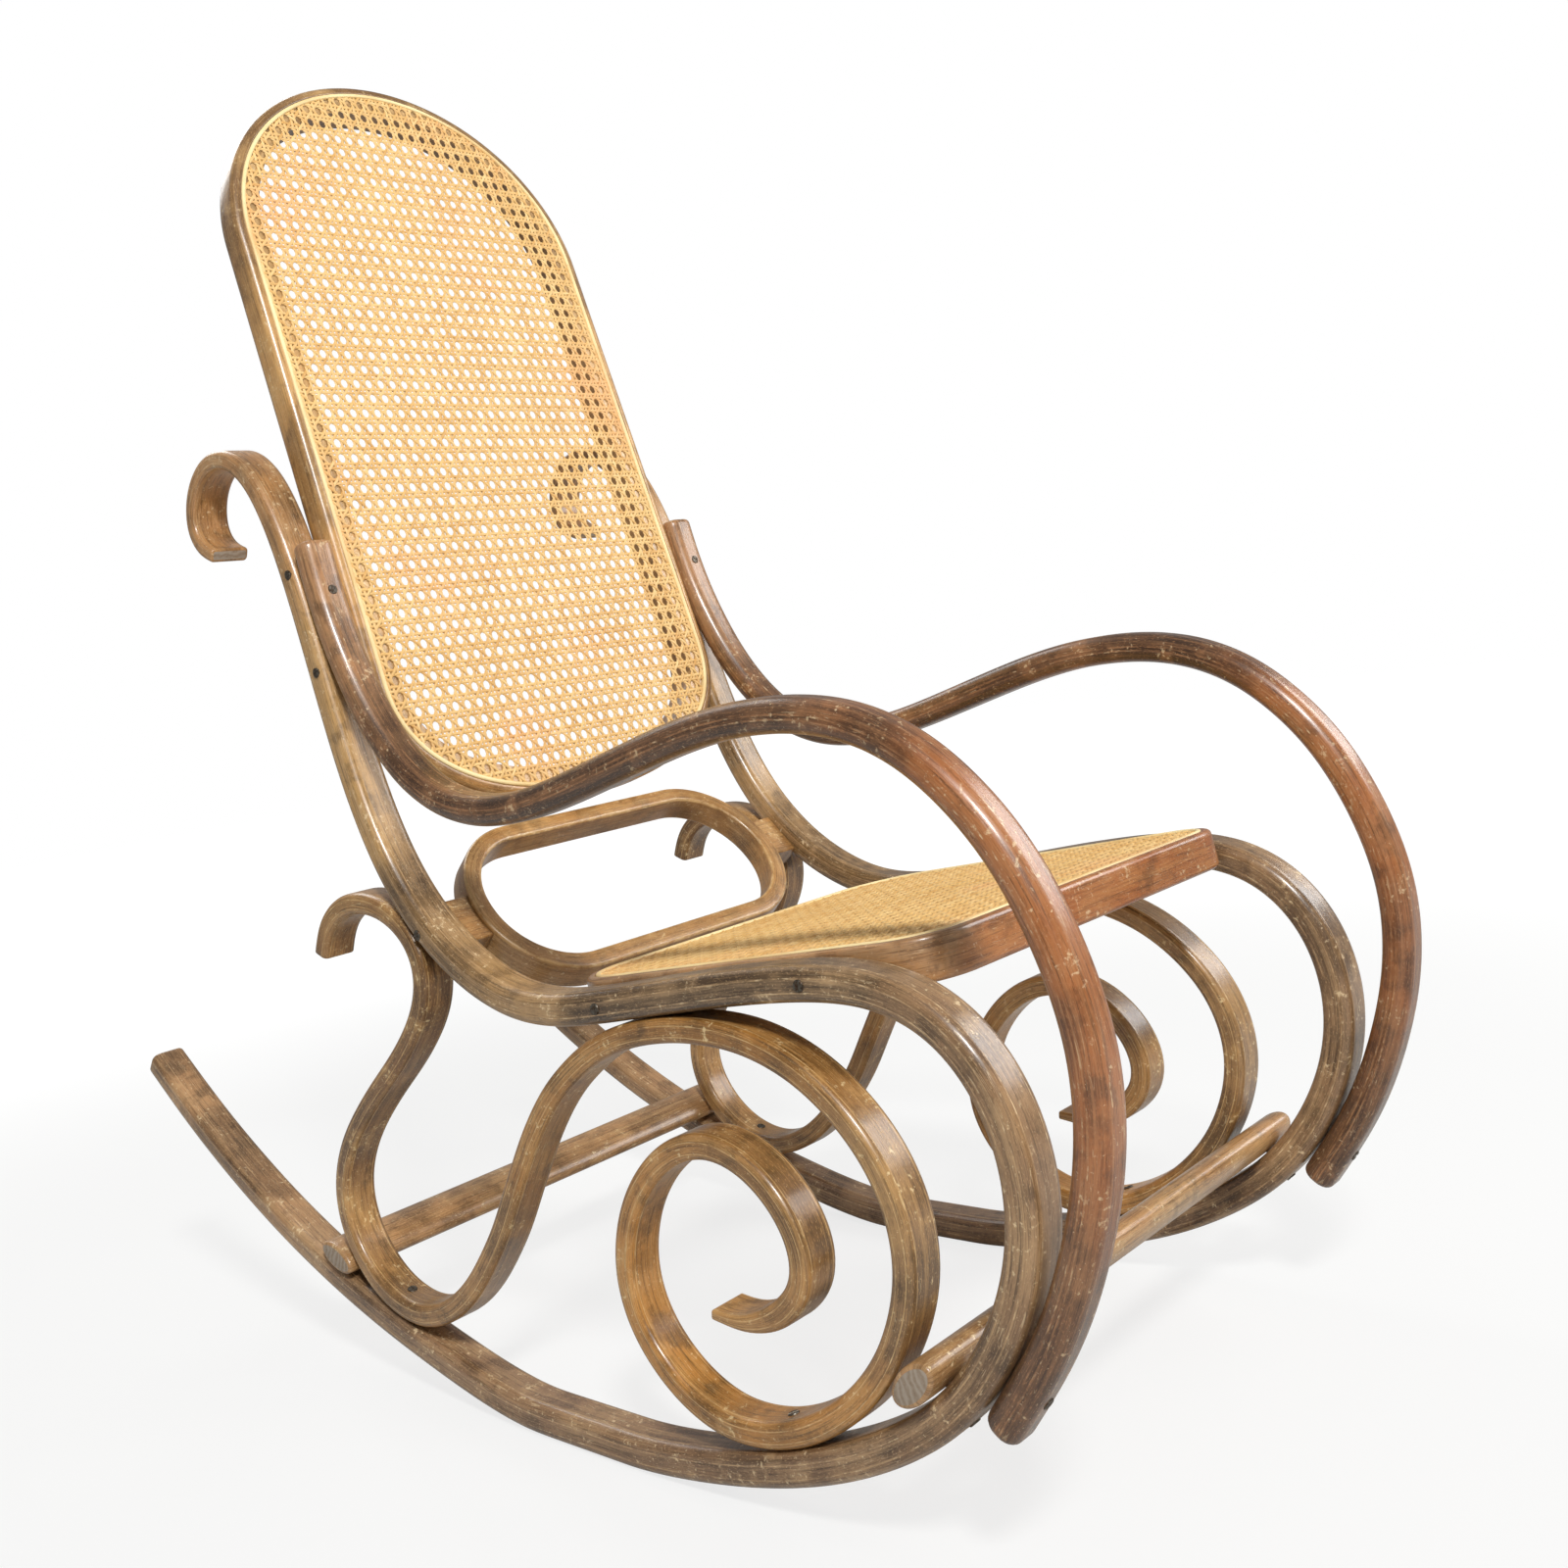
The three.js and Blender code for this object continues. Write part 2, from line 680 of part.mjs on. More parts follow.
// Back: hoop, cane and spline
const hoopOutline = insetOutline(caneOutline(0), -hoopRimWidth);
const backCaneInset = hoopRimWidth + splineWidth + 3 * fitGap;
addPiece('back_hoop', rightWayOut(placed(
  bandGeometry(hoopOutline, frameSection(hoopRimWidth, hoopUnderCane, hoopDeep, hoopEdgeRound)),
  hoopFrame,
)), 'hoop', 'back');
addPiece('back_cane', caneNet(
  insetOutline(hoopOutline, backCaneInset),
  backPitchAcross,
  backPitchUp,
  hoopFrame,
), 'cane', 'back');
addPiece('back_spline', rightWayOut(placed(
  bandGeometry(hoopOutline, splineSection(hoopRimWidth)),
  hoopFrame,
)), 'spline', 'back');

// Seat: frame, cane and spline
const seatOutline = roundedOutline(
  innerHalfWidth,
  -seatHalfDepth,
  seatHalfDepth,
  seatFrontCorner,
  seatRearCorner,
  seatCornerSteps,
);
const seatCaneInset = seatRim + splineWidth + 3 * fitGap;
addPiece('seat_frame', rightWayOut(placed(
  bandGeometry(seatOutline, frameSection(seatRim, seatUnderCane, seatFrameHeight, seatEdgeRound)),
  seatFrame,
)), 'seat', 'seat');
addPiece('seat_cane', caneNet(
  insetOutline(seatOutline, seatCaneInset),
  seatPitchAcross,
  seatPitchDeep,
  seatFrame,
), 'cane', 'seat');
addPiece('seat_spline', rightWayOut(placed(
  bandGeometry(seatOutline, splineSection(seatRim)),
  seatFrame,
)), 'spline', 'seat');

// Lower back ring
const ringSection = [
  [0, -ringDeep / 2 + ringEdgeRound],
  [0, ringDeep / 2 - ringEdgeRound],
  [ringEdgeRound, ringDeep / 2],
  [ringBand - ringEdgeRound, ringDeep / 2],
  [ringBand, ringDeep / 2 - ringEdgeRound],
  [ringBand, -ringDeep / 2 + ringEdgeRound],
  [ringBand - ringEdgeRound, -ringDeep / 2],
  [ringEdgeRound, -ringDeep / 2],
];
const ringOutline = roundedOutline(
  ringHalfWidth,
  -ringHalfHeight,
  ringHalfHeight,
  ringCorner,
  ringCorner,
  ringCornerSteps,
);
addPiece(
  'lower_back_ring',
  rightWayOut(placed(bandGeometry(ringOutline, ringSection), ringFrame)),
  'hoop',
  'back',
);

// A block between an end of the ring and the rail beside it, hollowed to fit the ring's end
function ringBlock(side, sign) {
  const half = ringBlockHeight / 2;
  const reach = Math.asin(half / (ringCorner + fitGap));
  const points = [
    new THREE.Vector2(innerHalfWidth, -half),
    new THREE.Vector2(innerHalfWidth, half),
  ];
  for (let k = 0; k <= ringBlockSteps; k += 1) {
    const angle = reach - 2 * reach * k / ringBlockSteps;
    points.push(new THREE.Vector2(
      ringHalfWidth - ringCorner + (ringCorner + fitGap) * Math.cos(angle),
      (ringCorner + fitGap) * Math.sin(angle),
    ));
  }
  const block = new THREE.ExtrudeGeometry(
    new THREE.Shape(points.map((point) => new THREE.Vector2(sign * point.x, point.y))),
    { depth: ringBlockDeep, bevelEnabled: false },
  );
  block.translate(0, 0, ringDeep / 2 - ringEdgeRound - ringBlockDeep);
  addPiece(`ring_block_${side}`, rightWayOut(placed(block, ringFrame)), 'hoop', 'back');
}
ringBlock('left', 1);
ringBlock('right', -1);

// Stretchers: oval rods that lie on the inside of the runners
function stretcher(name, nearShares, overhang, long, short) {
  const reach = (sideFrameSpacing + runnerWidth) / 2 + overhang;
  const run = runnerPath.nearest(sidePlace(nearShares), 0, bendEnd).run;
  const tangent = runnerPath.tangent(run);
  const normal = runnerPath.normal(run);
  const inward = normal.y > 0 ? normal : normal.clone().negate();
  const seat = runnerPath.sample(run);
  const middle = seat.clone().addScaledVector(inward, (runnerThickness + short) / 2 + stretcherSeatGap);
  const ringAt = (x, less) => Array.from({ length: stretcherSides }, (_, k) => {
    const angle = 2 * Math.PI * k / stretcherSides;
    const along = (long / 2 - less) * Math.cos(angle);
    const out = (short / 2 - less) * Math.sin(angle);
    return new THREE.Vector3(
      x,
      middle.x + tangent.x * along + inward.x * out,
      middle.y + tangent.y * along + inward.y * out,
    );
  });
  const rings = [
    ringAt(-reach, stretcherEndRound),
    ringAt(-reach + stretcherEndRound, 0),
    ringAt(reach - stretcherEndRound, 0),
    ringAt(reach, stretcherEndRound),
  ];
  addPiece(name, rightWayOut(skin(rings, false)), 'stretcher', 'stretchers');
  return { seat, inward };
}
const frontRest = stretcher(
  'front_stretcher',
  frontStretcherShares,
  frontStretcherOverhang,
  frontStretcherLong,
  frontStretcherShort,
);
const rearRest = stretcher(
  'rear_stretcher',
  rearStretcherShares,
  rearStretcherOverhang,
  rearStretcherLong,
  rearStretcherShort,
);

// The two side frames
function sideFrame(side, sign) {
  const sideX = sign * sideFrameSpacing / 2;
  const group = `${side}_side`;
  const runner = `runner_${side}`;
  const arm = `arm_${side}`;
  const scroll = `scroll_${side}`;
  addPiece(runner, bentRod(runnerPath, sideX, (share) => {
    const curl = THREE.MathUtils.smoothstep(share, curlStartShare, 1);
    return {
      width: runnerWidth + (curlWidth - runnerWidth) * curl,
      thickness: runnerThickness + (curlThickness - runnerThickness) * curl,
    };
  }), 'rocker', group);
  const armSize = { width: armWidth, thickness: armThickness };
  const scrollSize = { width: scrollWidth, thickness: scrollThickness };
  addPiece(arm, bentRod(armPath, sideX, () => armSize), 'arm', group);
  addPiece(scroll, bentRod(scrollPath, sideX, () => scrollSize), 'scroll', group);

  const joinRods = (name, path, thickness, seat, outer) => {
    const contact = contactOf(path, runnerPath, seat);
    const from = path.sample(contact.run);
    const way = runnerPath.sample(contact.otherRun).sub(from).normalize();
    const start = from.clone().addScaledVector(way, -thickness / 2);
    woodScrew(
      `${name}_${side}`,
      new THREE.Vector3(sideX, start.x, start.y),
      new THREE.Vector3(0, way.x, way.y),
      thickness + screwBite,
      [runner, outer],
      group,
    );
  };
  joinRods('arm_top_screw', armPath, armThickness, armTop, arm);
  joinRods('arm_foot_screw', armPath, armThickness, armFoot, arm);
  joinRods('scroll_post_screw', scrollPath, scrollThickness, scrollPost, scroll);
  joinRods('scroll_rail_screw', scrollPath, scrollThickness, scrollRail, scroll);
  joinRods('scroll_rear_screw', scrollPath, scrollThickness, scrollRear, scroll);
  joinRods('scroll_front_screw', scrollPath, scrollThickness, scrollFront, scroll);

  const screwIn = (name, place, bite, into) => woodScrew(
    `${name}_${side}`,
    new THREE.Vector3(sideX + sign * runnerWidth / 2, place.x, place.y),
    new THREE.Vector3(-sign, 0, 0),
    runnerWidth + bite,
    [runner, ...into],
    group,
  );
  [['seat_front_screw', seatFrontScrewShares], ['seat_rear_screw', seatRearScrewShares]].forEach(([name, shares]) => {
    const onRail = runnerPath.sample(runnerPath.nearest(sidePlace(shares), bendEnd).run);
    screwIn(name, onRail, screwBite, ['seat_frame']);
  });
  const ringBite = innerHalfWidth - ringHalfWidth + screwBite;
  const ringScrewPlace = ringRail.clone().lerp(ringPlace, middleShare);
  screwIn('ring_screw', ringScrewPlace, ringBite, [`ring_block_${side}`, 'lower_back_ring']);
  [['hoop_low_screw', hoopLowScrewRise], ['hoop_high_screw', hoopHighScrewRise]].forEach(([name, rise]) => {
    const inHoop = new THREE.Vector3(0, rise, -hoopScrewDepth).applyMatrix4(hoopFrame);
    screwIn(name, new THREE.Vector2(inHoop.y, inHoop.z), screwBite, ['back_hoop']);
  });

  [['front_stretcher', frontRest], ['rear_stretcher', rearRest]].forEach(([name, rest]) => {
    const start = rest.seat.clone().addScaledVector(rest.inward, -runnerThickness / 2);
    woodScrew(
      `${name}_screw_${side}`,
      new THREE.Vector3(sideX, start.x, start.y),
      new THREE.Vector3(0, rest.inward.x, rest.inward.y),
      runnerThickness + screwBite,
      [runner, name],
      group,
    );
  });
}
sideFrame('left', 1);
sideFrame('right', -1);

// The finished assembly, standing on the floor with the middle of its outline over the origin
const chair = new THREE.Group();
chair.name = 'bentwood_rocking_chair';
const groups = new Map();
pieces.forEach(({ manifold, finish, group }, name) => {
  if (!groups.has(group)) {
    const holder = new THREE.Group();
    holder.name = `${group}_group`;
    groups.set(group, holder);
    chair.add(holder);
  }
  const { color, roughness, metalness } = finishes[finish];
  const material = new THREE.MeshStandardMaterial({ color, roughness, metalness });
  const mesh = new THREE.Mesh(toGeometry(manifold), material);
  mesh.name = name;
  groups.get(group).add(mesh);
});
const extent = new THREE.Box3().setFromObject(chair);
const middle = extent.getCenter(new THREE.Vector3());
chair.position.set(-middle.x, -middle.y, -extent.min.z);

export default chair;
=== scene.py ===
"""Bentwood rocking chair with a caned back and seat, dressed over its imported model.

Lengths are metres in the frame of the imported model: the front of the chair faces -Y, the
sitter's left is +X and the floor is z = 0. The rods, the hoop, the seat frame, the ring, the
stretchers, the cane and the screws are surfaces worked out here, each in the place of its node.
"""

import logging
import math
from dataclasses import dataclass, field
from enum import Enum

import bpy
import numpy as np
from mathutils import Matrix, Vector


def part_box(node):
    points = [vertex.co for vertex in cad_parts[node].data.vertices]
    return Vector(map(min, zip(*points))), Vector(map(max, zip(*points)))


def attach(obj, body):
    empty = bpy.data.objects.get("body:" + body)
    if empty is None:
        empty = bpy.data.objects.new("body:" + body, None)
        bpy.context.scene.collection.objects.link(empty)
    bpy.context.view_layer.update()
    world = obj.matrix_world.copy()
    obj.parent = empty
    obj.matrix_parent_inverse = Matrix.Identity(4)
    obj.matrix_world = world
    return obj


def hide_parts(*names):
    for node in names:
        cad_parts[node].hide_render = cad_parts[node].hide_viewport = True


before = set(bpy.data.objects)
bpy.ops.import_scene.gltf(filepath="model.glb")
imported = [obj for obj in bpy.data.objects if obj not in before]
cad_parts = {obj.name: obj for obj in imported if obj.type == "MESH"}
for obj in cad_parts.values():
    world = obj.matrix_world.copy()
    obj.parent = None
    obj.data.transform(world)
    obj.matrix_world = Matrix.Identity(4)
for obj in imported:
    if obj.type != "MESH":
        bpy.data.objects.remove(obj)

log = logging.getLogger("rocking_chair")

MM = 0.001
BODY = "root"
WHITE = (1.0, 1.0, 1.0, 1.0)

Array = np.ndarray
Material = bpy.types.Material
Object = bpy.types.Object
Socket = bpy.types.NodeSocket
Pair = tuple[float, float]
Triple = tuple[float, float, float]

# Overall sizes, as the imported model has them
CHAIR_DEPTH = 1.1
CHAIR_HEIGHT = 1.2
SIDE_SPACING = 0.445
MIDDLE_SHARE = 0.5
ROD_SEAT_GAP = 0.5 * MM
FIT_GAP = 0.3 * MM

# Path tracing and the seating of one rod on another
SAMPLE_STEP = 2 * MM
TANGENT_REACH = 4 * MM
SEATING_SPREAD = 110 * MM
SEATING_ROUNDS = 6

# Steps between the rings of a rod and the points of an outline, and counts in round parts
ROD_STEP = 4 * MM
OUTLINE_STEP = 4 * MM
END_RINGS = 5
CORNER_STEPS = 24


# Rocker, front bend, seat rail, back post and curl, as shares of depth from the front and of height
RUNNER_TAIL_SHARES = (
    (0.996, 0.204), (0.936, 0.163), (0.875, 0.128), (0.811, 0.096),
    (0.745, 0.069), (0.676, 0.046), (0.608, 0.0288), (0.555, 0.0168),
)
RUNNER_FRONT_SHARES = (
    (0.318, 0.017), (0.246, 0.031), (0.178, 0.055), (0.1165, 0.0905),
    (0.0725, 0.1455), (0.057, 0.2), (0.0672, 0.2495), (0.0995, 0.2858),
    (0.15, 0.3015), (0.2236, 0.2975), (0.301, 0.288), (0.3745, 0.2775),
    (0.43, 0.272), (0.482, 0.279), (0.5425, 0.309), (0.5905, 0.359),
    (0.62, 0.42), (0.6395, 0.484), (0.6555, 0.542), (0.669, 0.584),
    (0.6835, 0.619), (0.7025, 0.65), (0.727, 0.67), (0.754, 0.6765),
    (0.7795, 0.6695), (0.7975, 0.651), (0.8015, 0.628), (0.789, 0.611),
    (0.7705, 0.604),
)
REST_DEPTH_SHARE = 0.4455
REST_LENGTH = 70 * MM
FRONT_BEND_END_SHARES = (0.15, 0.3015)

# Arm, from its upper end on the post to its lower end on the front bend
ARM_SHARES = (
    (0.6445, 0.5975), (0.637, 0.568), (0.627, 0.536), (0.6127, 0.5025),
    (0.5955, 0.471), (0.5736, 0.443), (0.548, 0.421), (0.518, 0.4065),
    (0.486, 0.399), (0.452, 0.398), (0.416, 0.402), (0.381, 0.409),
    (0.345, 0.4175), (0.309, 0.426), (0.273, 0.434), (0.2355, 0.44),
    (0.199, 0.442), (0.163, 0.44), (0.129, 0.4325), (0.098, 0.4185),
    (0.071, 0.3975), (0.047, 0.371), (0.03, 0.341), (0.0175, 0.308),
    (0.011, 0.275), (0.0125, 0.242), (0.0205, 0.21), (0.034, 0.18),
    (0.051, 0.151), (0.073, 0.1215), (0.1035, 0.0862),
)
ARM_TOP_SHARES = (0.6445, 0.5975)
ARM_FOOT_SHARES = (0.085, 0.108)

# Scroll, from its rear curl on the post to the end of its inner spiral
SCROLL_SHARES = (
    (0.6955, 0.2985), (0.688, 0.318), (0.664, 0.331), (0.631, 0.327),
    (0.603, 0.3125), (0.5845, 0.294), (0.578, 0.274), (0.5845, 0.254),
    (0.6, 0.2367), (0.62, 0.2208), (0.6436, 0.205), (0.6664, 0.1875),
    (0.6873, 0.1683), (0.702, 0.1475), (0.709, 0.1258), (0.7055, 0.1025),
    (0.691, 0.0805), (0.669, 0.0635), (0.6435, 0.0545), (0.6175, 0.0525),
    (0.592, 0.059), (0.5675, 0.071), (0.5455, 0.0875), (0.5265, 0.1067),
    (0.509, 0.126), (0.4945, 0.1467), (0.48, 0.1667), (0.4655, 0.1867),
    (0.449, 0.2058), (0.431, 0.2233), (0.41, 0.2383), (0.387, 0.252),
    (0.362, 0.262), (0.3345, 0.2683), (0.3055, 0.2715), (0.2765, 0.271),
    (0.2482, 0.2675), (0.221, 0.2592), (0.1973, 0.2475), (0.1764, 0.2317),
    (0.159, 0.2125), (0.1482, 0.1917), (0.1436, 0.1683), (0.1464, 0.145),
    (0.1555, 0.1225), (0.169, 0.101), (0.1873, 0.0817), (0.209, 0.065),
    (0.2336, 0.0517), (0.259, 0.0433), (0.2864, 0.04), (0.3127, 0.0425),
    (0.3373, 0.0525), (0.359, 0.0683), (0.3755, 0.0892), (0.382, 0.1133),
    (0.378, 0.1375), (0.3664, 0.1608), (0.348, 0.1808), (0.3255, 0.1958),
    (0.3, 0.204), (0.2745, 0.2025), (0.25, 0.1917), (0.231, 0.1733),
    (0.222, 0.1517), (0.2264, 0.1308), (0.247, 0.114), (0.276, 0.105),
    (0.302, 0.1083),
)
SCROLL_POST_SHARES = (0.645, 0.33)
SCROLL_RAIL_SHARES = (0.33, 0.268)
SCROLL_REAR_SHARES = (0.6175, 0.0525)
SCROLL_FRONT_SHARES = (0.2864, 0.04)


class Side(Enum):
    """The sitter's left and right, with the sign of x there."""

    LEFT = 1.0
    RIGHT = -1.0

    def label(self) -> str:
        """The side's word in the names of nodes."""
        return self.name.lower()


class Slot(Enum):
    """The record's material slots."""

    ROCKER = "rocker_wood"
    ARM = "arm_wood"
    SCROLL = "scroll_wood"
    HOOP = "hoop_wood"
    SEAT = "seat_wood"
    STRETCHER = "stretcher_wood"
    CANE = "cane"
    SPLINE = "spline"
    SCREW = "screw"


Finishes = dict[Slot, Material]


def linear(hex_colour: str) -> tuple[float, float, float, float]:
    """An sRGB hex colour as linear RGBA.

    Args:
        hex_colour: Six hex digits.

    Returns:
        Red, green, blue and an alpha of 1.
    """
    parts = [int(hex_colour[i:i + 2], 16) / 255 for i in (0, 2, 4)]
    curve = [p / 12.92 if p <= 0.04045 else ((p + 0.055) / 1.055) ** 2.4 for p in parts]
    return (*curve, 1.0)


def add_node(
    tree: bpy.types.NodeTree,
    kind: str,
    inputs: dict[str | int, object] | None = None,
    **settings: object,
) -> bpy.types.Node:
    """Adds a node, sets its properties, and sets or links its inputs.

    Args:
        tree: The node tree that gets the node.
        kind: The node's Blender type.
        inputs: Socket name or number to a value, or to the socket that feeds it.
        **settings: Properties of the node.

    Returns:
        The new node.
    """
    node = tree.nodes.new(kind)
    for key, value in settings.items():
        setattr(node, key, value)
    for key, value in (inputs or {}).items():
        if isinstance(value, Socket):
            tree.links.new(value, node.inputs[key])
        else:
            node.inputs[key].default_value = value
    return node


class Fade(Enum):
    """How a value goes from one level to another, by Blender's names."""

    SOFT = "SMOOTHSTEP"
    EVEN = "LINEAR"


class Course(Enum):
    """What the body tones of a finish follow: an axis of the frame, or the run along a rod."""

    ACROSS = 0
    DEPTH = 1
    HEIGHT = 2
    RUN = 3


class Coat:
    """A node material or world in the making, with the steps that the finishes share.

    Attributes:
        block: The material or world.
        tree: Its node tree.
        gain: How much each finer octave of its noise counts.
    """

    def __init__(self, block: Material | bpy.types.World, gain: float = 0.5) -> None:
        """Empties the node tree of a new material or world."""
        block.use_nodes = True
        self.block, self.tree, self.gain = block, block.node_tree, gain
        self.tree.nodes.clear()

    def add(
        self, kind: str, output: str | int, inputs: dict | None = None, **settings: object,
    ) -> Socket:
        """Adds a node, by its Blender type after ShaderNode, and gives one of its outputs."""
        return add_node(self.tree, f"ShaderNode{kind}", inputs, **settings).outputs[output]

    def place(self) -> Socket:
        """The piece's Object coordinates, in metres."""
        return self.add("TexCoord", "Object")

    def along(self) -> Socket:
        """The piece's own UV map: run and girth, in metres."""
        return self.add("UVMap", "UV", uv_map="along")

    def mark(self, name: str) -> Socket:
        """One of the piece's own attributes, from 0 to 1."""
        return self.add("Attribute", "Fac", attribute_name=name)

    def noise(self, vector: Socket, scale: float, detail: float) -> Socket:
        """Soft noise with a number of patches to the unit of its vector."""
        inputs = {"Vector": vector, "Scale": scale, "Detail": detail, "Roughness": self.gain}
        return self.add("TexNoise", "Fac", inputs)

    def streaks(
        self, along: Socket, length: float, width: float, detail: float, shift: float = 0.0,
    ) -> Socket:
        """Noise in streaks of a given length and width, in metres, apart from others by a shift."""
        inputs = {"Vector": along, "Location": (shift,) * 3, "Scale": (1 / length, 1 / width, 1)}
        return self.noise(self.add("Mapping", "Vector", inputs), 1.0, detail)

    def stepped(
        self,
        value: Socket,
        low: float,
        high: float,
        most: float = 1.0,
        least: float = 0.0,
        fade: Fade = Fade.SOFT,
    ) -> Socket:
        """Turns a value into least at low and most at high, held beyond."""
        ends = {"From Min": low, "From Max": high, "To Min": least, "To Max": most}
        kind = fade.value
        return self.add("MapRange", "Result", {"Value": value, **ends}, interpolation_type=kind)

    def spread(self, value: Socket, low: float, high: float) -> Socket:
        """Stretches a value from 0 to 1 over low to high."""
        return self.stepped(value, 0.0, 1.0, high, low, Fade.EVEN)

    def combined(self, operation: str, first: object, *others: object) -> Socket:
        """Values combined one after another by a Math operation."""
        for other in others:
            first = self.add("Math", 0, {0: first, 1: other}, operation=operation)
        return first

    def mixed(self, amount: object, under: object, over: str) -> Socket:
        """A colour that goes from under to the hex colour over by amount."""
        return self.add("Mix", 2, {0: amount, 6: under, 7: linear(over)}, data_type="RGBA")

    def finished(
        self,
        colour: object,
        roughness: object,
        relief: tuple[Socket, float, float] | None = None,
        **others: float,
    ) -> Material:
        """Ends the material with its shader.

        Args:
            colour: Base colour.
            roughness: Roughness.
            relief: Height pattern, its strength and its depth in metres, or None.
            **others: Other inputs of the shader, with _ for a space.

        Returns:
            The material.
        """
        inputs = {"Base Color": colour, "Roughness": roughness}
        inputs |= {key.replace("_", " "): value for key, value in others.items()}
        if relief:
            bump = dict(zip(("Height", "Strength", "Distance"), relief))
            inputs["Normal"] = self.add("Bump", "Normal", bump)
        return self.shaded(self.add("BsdfPrincipled", "BSDF", inputs))

    def shaded(self, shader: Socket) -> Material | bpy.types.World:
        """Links a shader to the output, and gives the material or world."""
        kind = "Material" if isinstance(self.block, Material) else "World"
        add_node(self.tree, f"ShaderNodeOutput{kind}", {"Surface": shader})
        return self.block

    def seen_directly(self) -> Socket:
        """1 for rays from the camera and for those that pass straight through, 0 for others."""
        rays = add_node(self.tree, "ShaderNodeLightPath").outputs
        return self.combined("MAXIMUM", rays["Is Camera Ray"], rays["Is Transmission Ray"])


# Patterns of the wood. Clouds: patches to the metre, and detail
CLOUDS = {
    "broad": (9.0, 3.0), "fine": (70.0, 4.0), "mottle": (34.0, 5.0),
    "specks": (420.0, 3.0), "flakes": (240.0, 4.0),
}
# Streaks: length and width of one, detail, and the shift that sets it apart from the others
STREAKS = {
    "coarse": (75 * MM, 3.0 * MM, 3.0, 5.0), "grain": (40 * MM, 1.3 * MM, 4.0, 0.0),
    "pores": (12 * MM, 0.6 * MM, 2.0, 7.0), "rays": (3.0 * MM, 0.8 * MM, 1.0, 3.0),
    "bands": (180 * MM, 7.0 * MM, 3.0, 11.0), "crumbs": (9 * MM, 2.5 * MM, 4.0, 31.0),
    "nicks": (5.0 * MM, 1.3 * MM, 3.0, 19.0),
}
# Layers of the stain, from the first: pattern, where it starts to tint, where it tints most, how
# much it tints there, and which tone of the finish it brings
STAINS = (
    ("broad", 0.54, 0.36, 0.55, "deep"), ("broad", 0.5, 0.66, 0.35, "light"),
    ("mottle", 0.54, 0.68, 0.4, "light"), ("mottle", 0.48, 0.34, 0.5, "deep"),
    ("bands", 0.48, 0.68, 0.3, "light"),
    ("coarse", 0.56, 0.7, 0.3, "light"), ("coarse", 0.46, 0.33, 0.45, "deep"),
    ("grain", 0.54, 0.7, 0.3, "light"), ("grain", 0.48, 0.32, 0.5, "deep"),
    ("pores", 0.56, 0.7, 0.5, "deep"), ("rays", 0.58, 0.7, 0.45, "light"),
)


